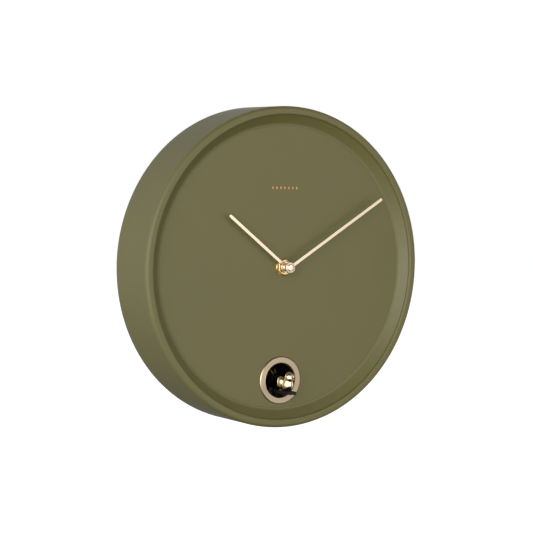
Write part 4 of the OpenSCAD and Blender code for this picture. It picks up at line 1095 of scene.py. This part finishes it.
# ---- works
def cell(name, low, high, nub, body, *nodes):
    """Battery cell along X, its nub at the high end (nub 1) or at the low end (nub -1)."""
    radius, length = (high.z - low.z) / 2 / MM, (high.x - low.x) / MM
    face = length - 1.5
    outline = scaled([
        (0, 0.3, 0), (3.4, 0.3, .1), (3.8, 0, .2), (6.0, 0, .2), (6.4, 0.5, .2), (6.9, 0.35, .2),
        (radius, 0.8, .4), (radius, face - 0.5, .5), (6.5, face, .25), (6.1, face - 0.5, .2),
        (3.4, face - 0.4, .3), (2.7, face + 0.3, .3), (2.6, length, .6), (0, length, 0)])
    start = low.x if nub > 0 else high.x
    centre = (start, (low.y + high.y) / 2, (low.z + high.z) / 2)
    key = "Clock cell %s" % name
    skin = finish(key, wrapper(COLOURS["cell"], COLOURS["band"], COLOURS["steel"], start,
                               nub * length * MM))
    made = turned(name, outline, skin, centre, 64, 4, (0.0, nub * math.pi / 2, 0.0))
    return keep(made, body, "cell", *nodes)


class CLOCK_OT_cells(bpy.types.Operator):
    """Three battery cells"""
    bl_idname = "clock.cells"
    bl_label = "Cells"

    def execute(self, context):
        low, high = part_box("movement_battery")
        cell("clock_cell", low, high, 1, "case", "movement_battery")
        pair = sorted(solids("cuckoo_batteries"), key=lambda b: b[0].z)
        cell("sound_cell_low", *pair[0], 1, "case", "cuckoo_batteries")
        cell("sound_cell_high", *pair[1], -1, "case")
        return {"FINISHED"}


class CLOCK_OT_speaker(bpy.types.Operator):
    """Small loudspeaker: corrugated cone, basket and magnet"""
    bl_idname = "clock.speaker"
    bl_label = "Speaker"

    def execute(self, context):
        low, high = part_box("speaker_basket")
        centre = ((low.x + high.x) / 2, 0.0, (low.z + high.z) / 2)
        base = -high.y / MM - 0.1
        face = []
        for number in range(41):
            r = 21.9 * number / 40
            if r < 5:
                z = 4.9 + 0.7 * (r / 5) ** 2
            elif r < 18.4:
                z = 5.6 - 4.5 * ((r - 5) / 13.4) ** 0.9 + 0.12 * math.sin((r - 5) * 2.8)
            else:
                z = 0.75 + 0.9 * math.sin(math.pi * min(1, (r - 18.4) / 3.2))
            face.append((r, z, 0.0))
        shell = [(r, z + 0.35, 0.0) for r, z, _ in reversed(face)]
        made = turned("cone_paper", scaled(face + shell, base), stock("paper"), centre, 96, 1, angle=50)
        keep(made, "case", "paper", "speaker_cone")
        outline = scaled([
            (22.1, .1, .1), (25, .1, .2), (25, 1.1, .3), (22.4, 1.1, .8), (13.5, 8.6, .8), (13.5, 10, .15),
            (9, 10, .1), (9, 9.2, .1), (12.6, 9.2, .1), (12.6, 8.4, .3), (22.1, .6, .2)], base)
        made = turned("basket_pressing", outline, stock("basket"), centre, 96, 4)
        keep(made, "case", "dark_steel", "speaker_basket")
        outline = scaled([(0, 10, 0), (14, 10, .5), (14, 15, .5), (11.2, 15, .15), (11, 14.7, .15),
                          (5, 14.7, .2), (4.8, 15, .15), (0, 15, 0)], base)
        made = turned("magnet_ring", outline, stock("magnet"), centre, 96, 3)
        keep(made, "case", "magnet", "speaker_magnet")
        return {"FINISHED"}


class CLOCK_OT_windings(bpy.types.Operator):
    """The movement's coil, and the spring behind the test button"""
    bl_idname = "clock.windings"
    bl_label = "Coil and spring"

    def execute(self, context):
        recipe = wire_recipe()
        low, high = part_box("coil_winding")
        wire = 0.13 * MM
        radius = (high.z - low.z) / 2 - wire
        length = high.x - low.x - 2 * wire
        middle = (low.x + wire, (low.y + high.y) / 2, (low.z + high.z) / 2)
        made = cooked("coil_wire", mesh_object("coil_wire", [(0, 0, 0)]), recipe, stock("copper"),
                      Radius=radius, Wire=wire, Length=length, Turns=length / wire / 1.9, Sides=6,
                      Steps=18, Shift=middle, Turn=TO_RIGHT)
        keep(smooth(outward(made), 60), "case", "copper", "coil_winding")
        low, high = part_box("test_spring")
        wire = 0.2 * MM
        made = cooked("button_spring", mesh_object("button_spring", [(0, 0, 0)]), recipe, stock("zinc"),
                      Radius=(high.x - low.x) / 2 - wire, Wire=wire, Length=high.y - low.y - 2 * wire,
                      Turns=5.0, Sides=10, Steps=32,
                      Shift=((low.x + high.x) / 2, high.y - wire, (low.z + high.z) / 2), Turn=FRONT_TURN)
        keep(smooth(outward(made), 60), "case", "steel", "test_spring")
        travel = next(j for j in frame["joints"] if j["name"] == "test_press")["range_m"][1]
        1 - travel / (high.y - low.y)
        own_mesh(made)
        return {"FINISHED"}


class CLOCK_OT_mouldings(bpy.types.Operator):
    """Moulded and pressed pieces, their edges eased, and a finish for every other piece"""
    bl_idname = "clock.mouldings"
    bl_label = "Mouldings and works"

    def execute(self, context):
        for node, key, slot_name, body, width in (
                ("back_cover", "cover", "cover", "case", 0.3),
                ("battery_door", "cover", "cover", "battery_door", 0.2),
                ("movement_case", "movement", "movement", "case", 0.3),
                ("movement_cover", "lid", "clear", "case", 0.25),
                ("setting_knob", "movement", "movement", "minute_wheel", 0.2),
                ("hanger_plate", "steel", "steel", "case", 0.15),
                ("test_button", "button", "button", "test_button", 0.25),
                ("volume_slider", "black", "black", "volume_slider", 0.15),
                ("bird_shroud", "black", "black", "case", 0.2),
                ("battery_tray", "movement", "movement", "case", 0.2),
                ("gearbox_plate", "plate", "plate", "case", 0.15),
                ("bird_motor", "zinc", "steel", "case", 0.3),
                ("motor_cap", "plate", "plate", "case", 0.2)):
            keep(eased(node, stock(key), width * MM), body, slot_name, node)
        dress("rubber", "movement_gasket")
        dress("board", "circuit_board", "control_board")
        dress("bobbin", "coil_bobbin")
        dress("steel", "stator", "movement_contacts", "drive_shaft", "reduction_pin", "switch_housing",
              "battery_contacts")
        dress("magnet", "rotor")
        dress("nylon", "intermediate_wheel", "third_wheel", "centre_wheel", "minute_wheel", "hour_wheel",
              "drive_gear", "reduction_gear")
        # The rack pinion takes the black finish instead of its nylon: painted shade that keeps the floor of the
        # bird's hole dark
        dress("black", "rack_pinion")
        dress("red", "second_wheel")
        dress("brass", "minute_arbor", "motor_pinion")
        dress("parts", "board_components", "button_switch")
        return {"FINISHED"}


# ---- stage
FLOOR_REACH = 14.0                                # half the floor's side, in metres


def direction(azimuth, elevation):
    """Where the viewer stands, as seen from the clock; at azimuth 0 the view is along +Y."""
    level = math.cos(elevation)
    return Vector((math.sin(azimuth) * level, -math.cos(azimuth) * level, math.sin(elevation)))


def softbox(name, azimuth, elevation, distance, size, power):
    """Area light that looks at the clock from a direction; the camera doesn't see it."""
    data = bpy.data.lights.new(name, "AREA")
    data.shape, data.energy = "RECTANGLE", power
    data.size, data.size_y = size
    made = linked(name, data)
    way = direction(math.radians(azimuth), math.radians(elevation))
    made.location = Vector((0, -0.03, AXIS_Z)) + way * distance
    made.rotation_euler = way.to_track_quat("Z", "Y").to_euler()
    made.visible_camera = False


# Soft light from all round: its least strength, how narrow each lobe is, then azimuth, elevation, strength
AMBIENT, NARROW = 0.02, 8
GLOW = ((-135, 0, 0.46), (-105, 0, 1.9), (-45, 0, 3.7), (-15, 0, 0.2), (15, 0, 1.7), (105, 0, 2.0),
        (135, 0, 0.8), (-150, 38, 0.85), (30, 38, 0.28), (150, 38, 0.5), (-150, -38, 0.4),
        (-90, -38, 0.1), (150, -38, 0.15))


def pale(tree, place):
    """The floor: nearly white, with faint clouds."""
    cloud = tree.noise(place, 0.7)
    return {"Base Color": tree.mix(cloud, (0.45, 0.45, 0.45, 1), (0.5, 0.5, 0.5, 1)),
            "Roughness": 0.85, "Emission Color": (1, 1, 1, 1), "Emission Strength": 0.85}


class CLOCK_OT_stage(bpy.types.Operator):
    """Camera, soft studio light and a pale floor"""
    bl_idname = "clock.stage"
    bl_label = "Stage"

    def execute(self, context):
        scene = bpy.context.scene
        s = scene.clock_stage
        way = direction(s.azimuth, s.elevation)
        right = (-way).cross(Vector((0, 0, 1))).normalized()
        up = right.cross(-way)
        across = math.cos(s.roll) * right + math.sin(s.roll) * up
        over = math.cos(s.roll) * up - math.sin(s.roll) * right
        data = bpy.data.cameras.new("View")
        data.lens, data.sensor_width = s.lens, 36
        data.shift_x, data.shift_y = s.shift_right, s.shift_up
        data.clip_start, data.clip_end = 0.05, 60
        camera = linked("View", data)
        place = Vector((0, -s.target_depth, AXIS_Z)) + way * s.distance
        camera.matrix_world = Matrix.Translation(place) @ Matrix((across, over, way)).transposed().to_4x4()
        scene.camera = camera
        scene.view_settings.view_transform = "Standard"
        scene.view_settings.look = "None"

        floor = mesh_object("Floor", [(x * FLOOR_REACH, y * FLOOR_REACH, -s.floor_drop)
                                      for x, y in ((-1, -1), (1, -1), (1, 1), (-1, 1))], [(0, 1, 2, 3)])
        floor.data.materials.append(finish("Clock floor", pale))
        floor.visible_diffuse = floor.visible_glossy = False

        softbox("Key box", -48, 10, 2.0, (1.2, 1.5), 10)
        softbox("Front box", 22, 6, 2.2, (0.5, 1.2), 2)

        world = bpy.data.worlds.new("Studio")
        scene.world = world
        tree = cleared(world)
        outside = tree.node("ShaderNodeTexCoord")["Generated"]
        total = AMBIENT
        for azimuth, elevation, strength in GLOW:
            aim = direction(math.radians(azimuth), math.radians(elevation))
            facing = tree.vector("DOT_PRODUCT", outside, aim)["Value"]
            total = total + facing.maths("MAXIMUM", facing, 0.0) ** NARROW * strength
        seen = tree.node("ShaderNodeLightPath")["Is Camera Ray"]
        back = tree.node("ShaderNodeBackground", {}, {"Color": (1, 1, 1, 1),
                                                      "Strength": seen + (1 - seen) * total})
        tree.node("ShaderNodeOutputWorld", {}, {0: back[0]})
        return {"FINISHED"}


# ---- panel
STEPS = (CLOCK_OT_drum, CLOCK_OT_dial, CLOCK_OT_ring, CLOCK_OT_mark, CLOCK_OT_hands, CLOCK_OT_nut,
         CLOCK_OT_bird, CLOCK_OT_screws, CLOCK_OT_cells, CLOCK_OT_speaker, CLOCK_OT_windings,
         CLOCK_OT_mouldings, CLOCK_OT_stage)


class CLOCK_PT_panel(bpy.types.Panel):
    """The clock's sizes, colours and steps"""
    bl_idname = "CLOCK_PT_panel"
    bl_label = "Bird wall clock"
    bl_space_type = "VIEW_3D"
    bl_region_type = "UI"
    bl_category = "Clock"

    def draw(self, context):
        for group in (context.scene.clock_sizes, context.scene.clock_colours, context.scene.clock_stage):
            box = self.layout.box()
            for key in group.__annotations__:
                box.prop(group, key)
        for step in STEPS:
            self.layout.operator(step.bl_idname)


CLASSES = (ClockColours, ClockSizes, ClockStage, *STEPS, CLOCK_PT_panel)


def register():
    for one in CLASSES:
        bpy.utils.register_class(one)
    bpy.types.Scene.clock_colours = bpy.props.PointerProperty(type=ClockColours)
    bpy.types.Scene.clock_sizes = bpy.props.PointerProperty(type=ClockSizes)
    bpy.types.Scene.clock_stage = bpy.props.PointerProperty(type=ClockStage)


def unregister():
    for key in ("clock_colours", "clock_sizes", "clock_stage"):
        delattr(bpy.types.Scene, key)
    for one in reversed(CLASSES):
        bpy.utils.unregister_class(one)


def main():
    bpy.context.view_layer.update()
    register()
    for step in STEPS:
        group, name = step.bl_idname.split(".")
        getattr(getattr(bpy.ops, group), name)()


if __name__ == "__main__":
    main()
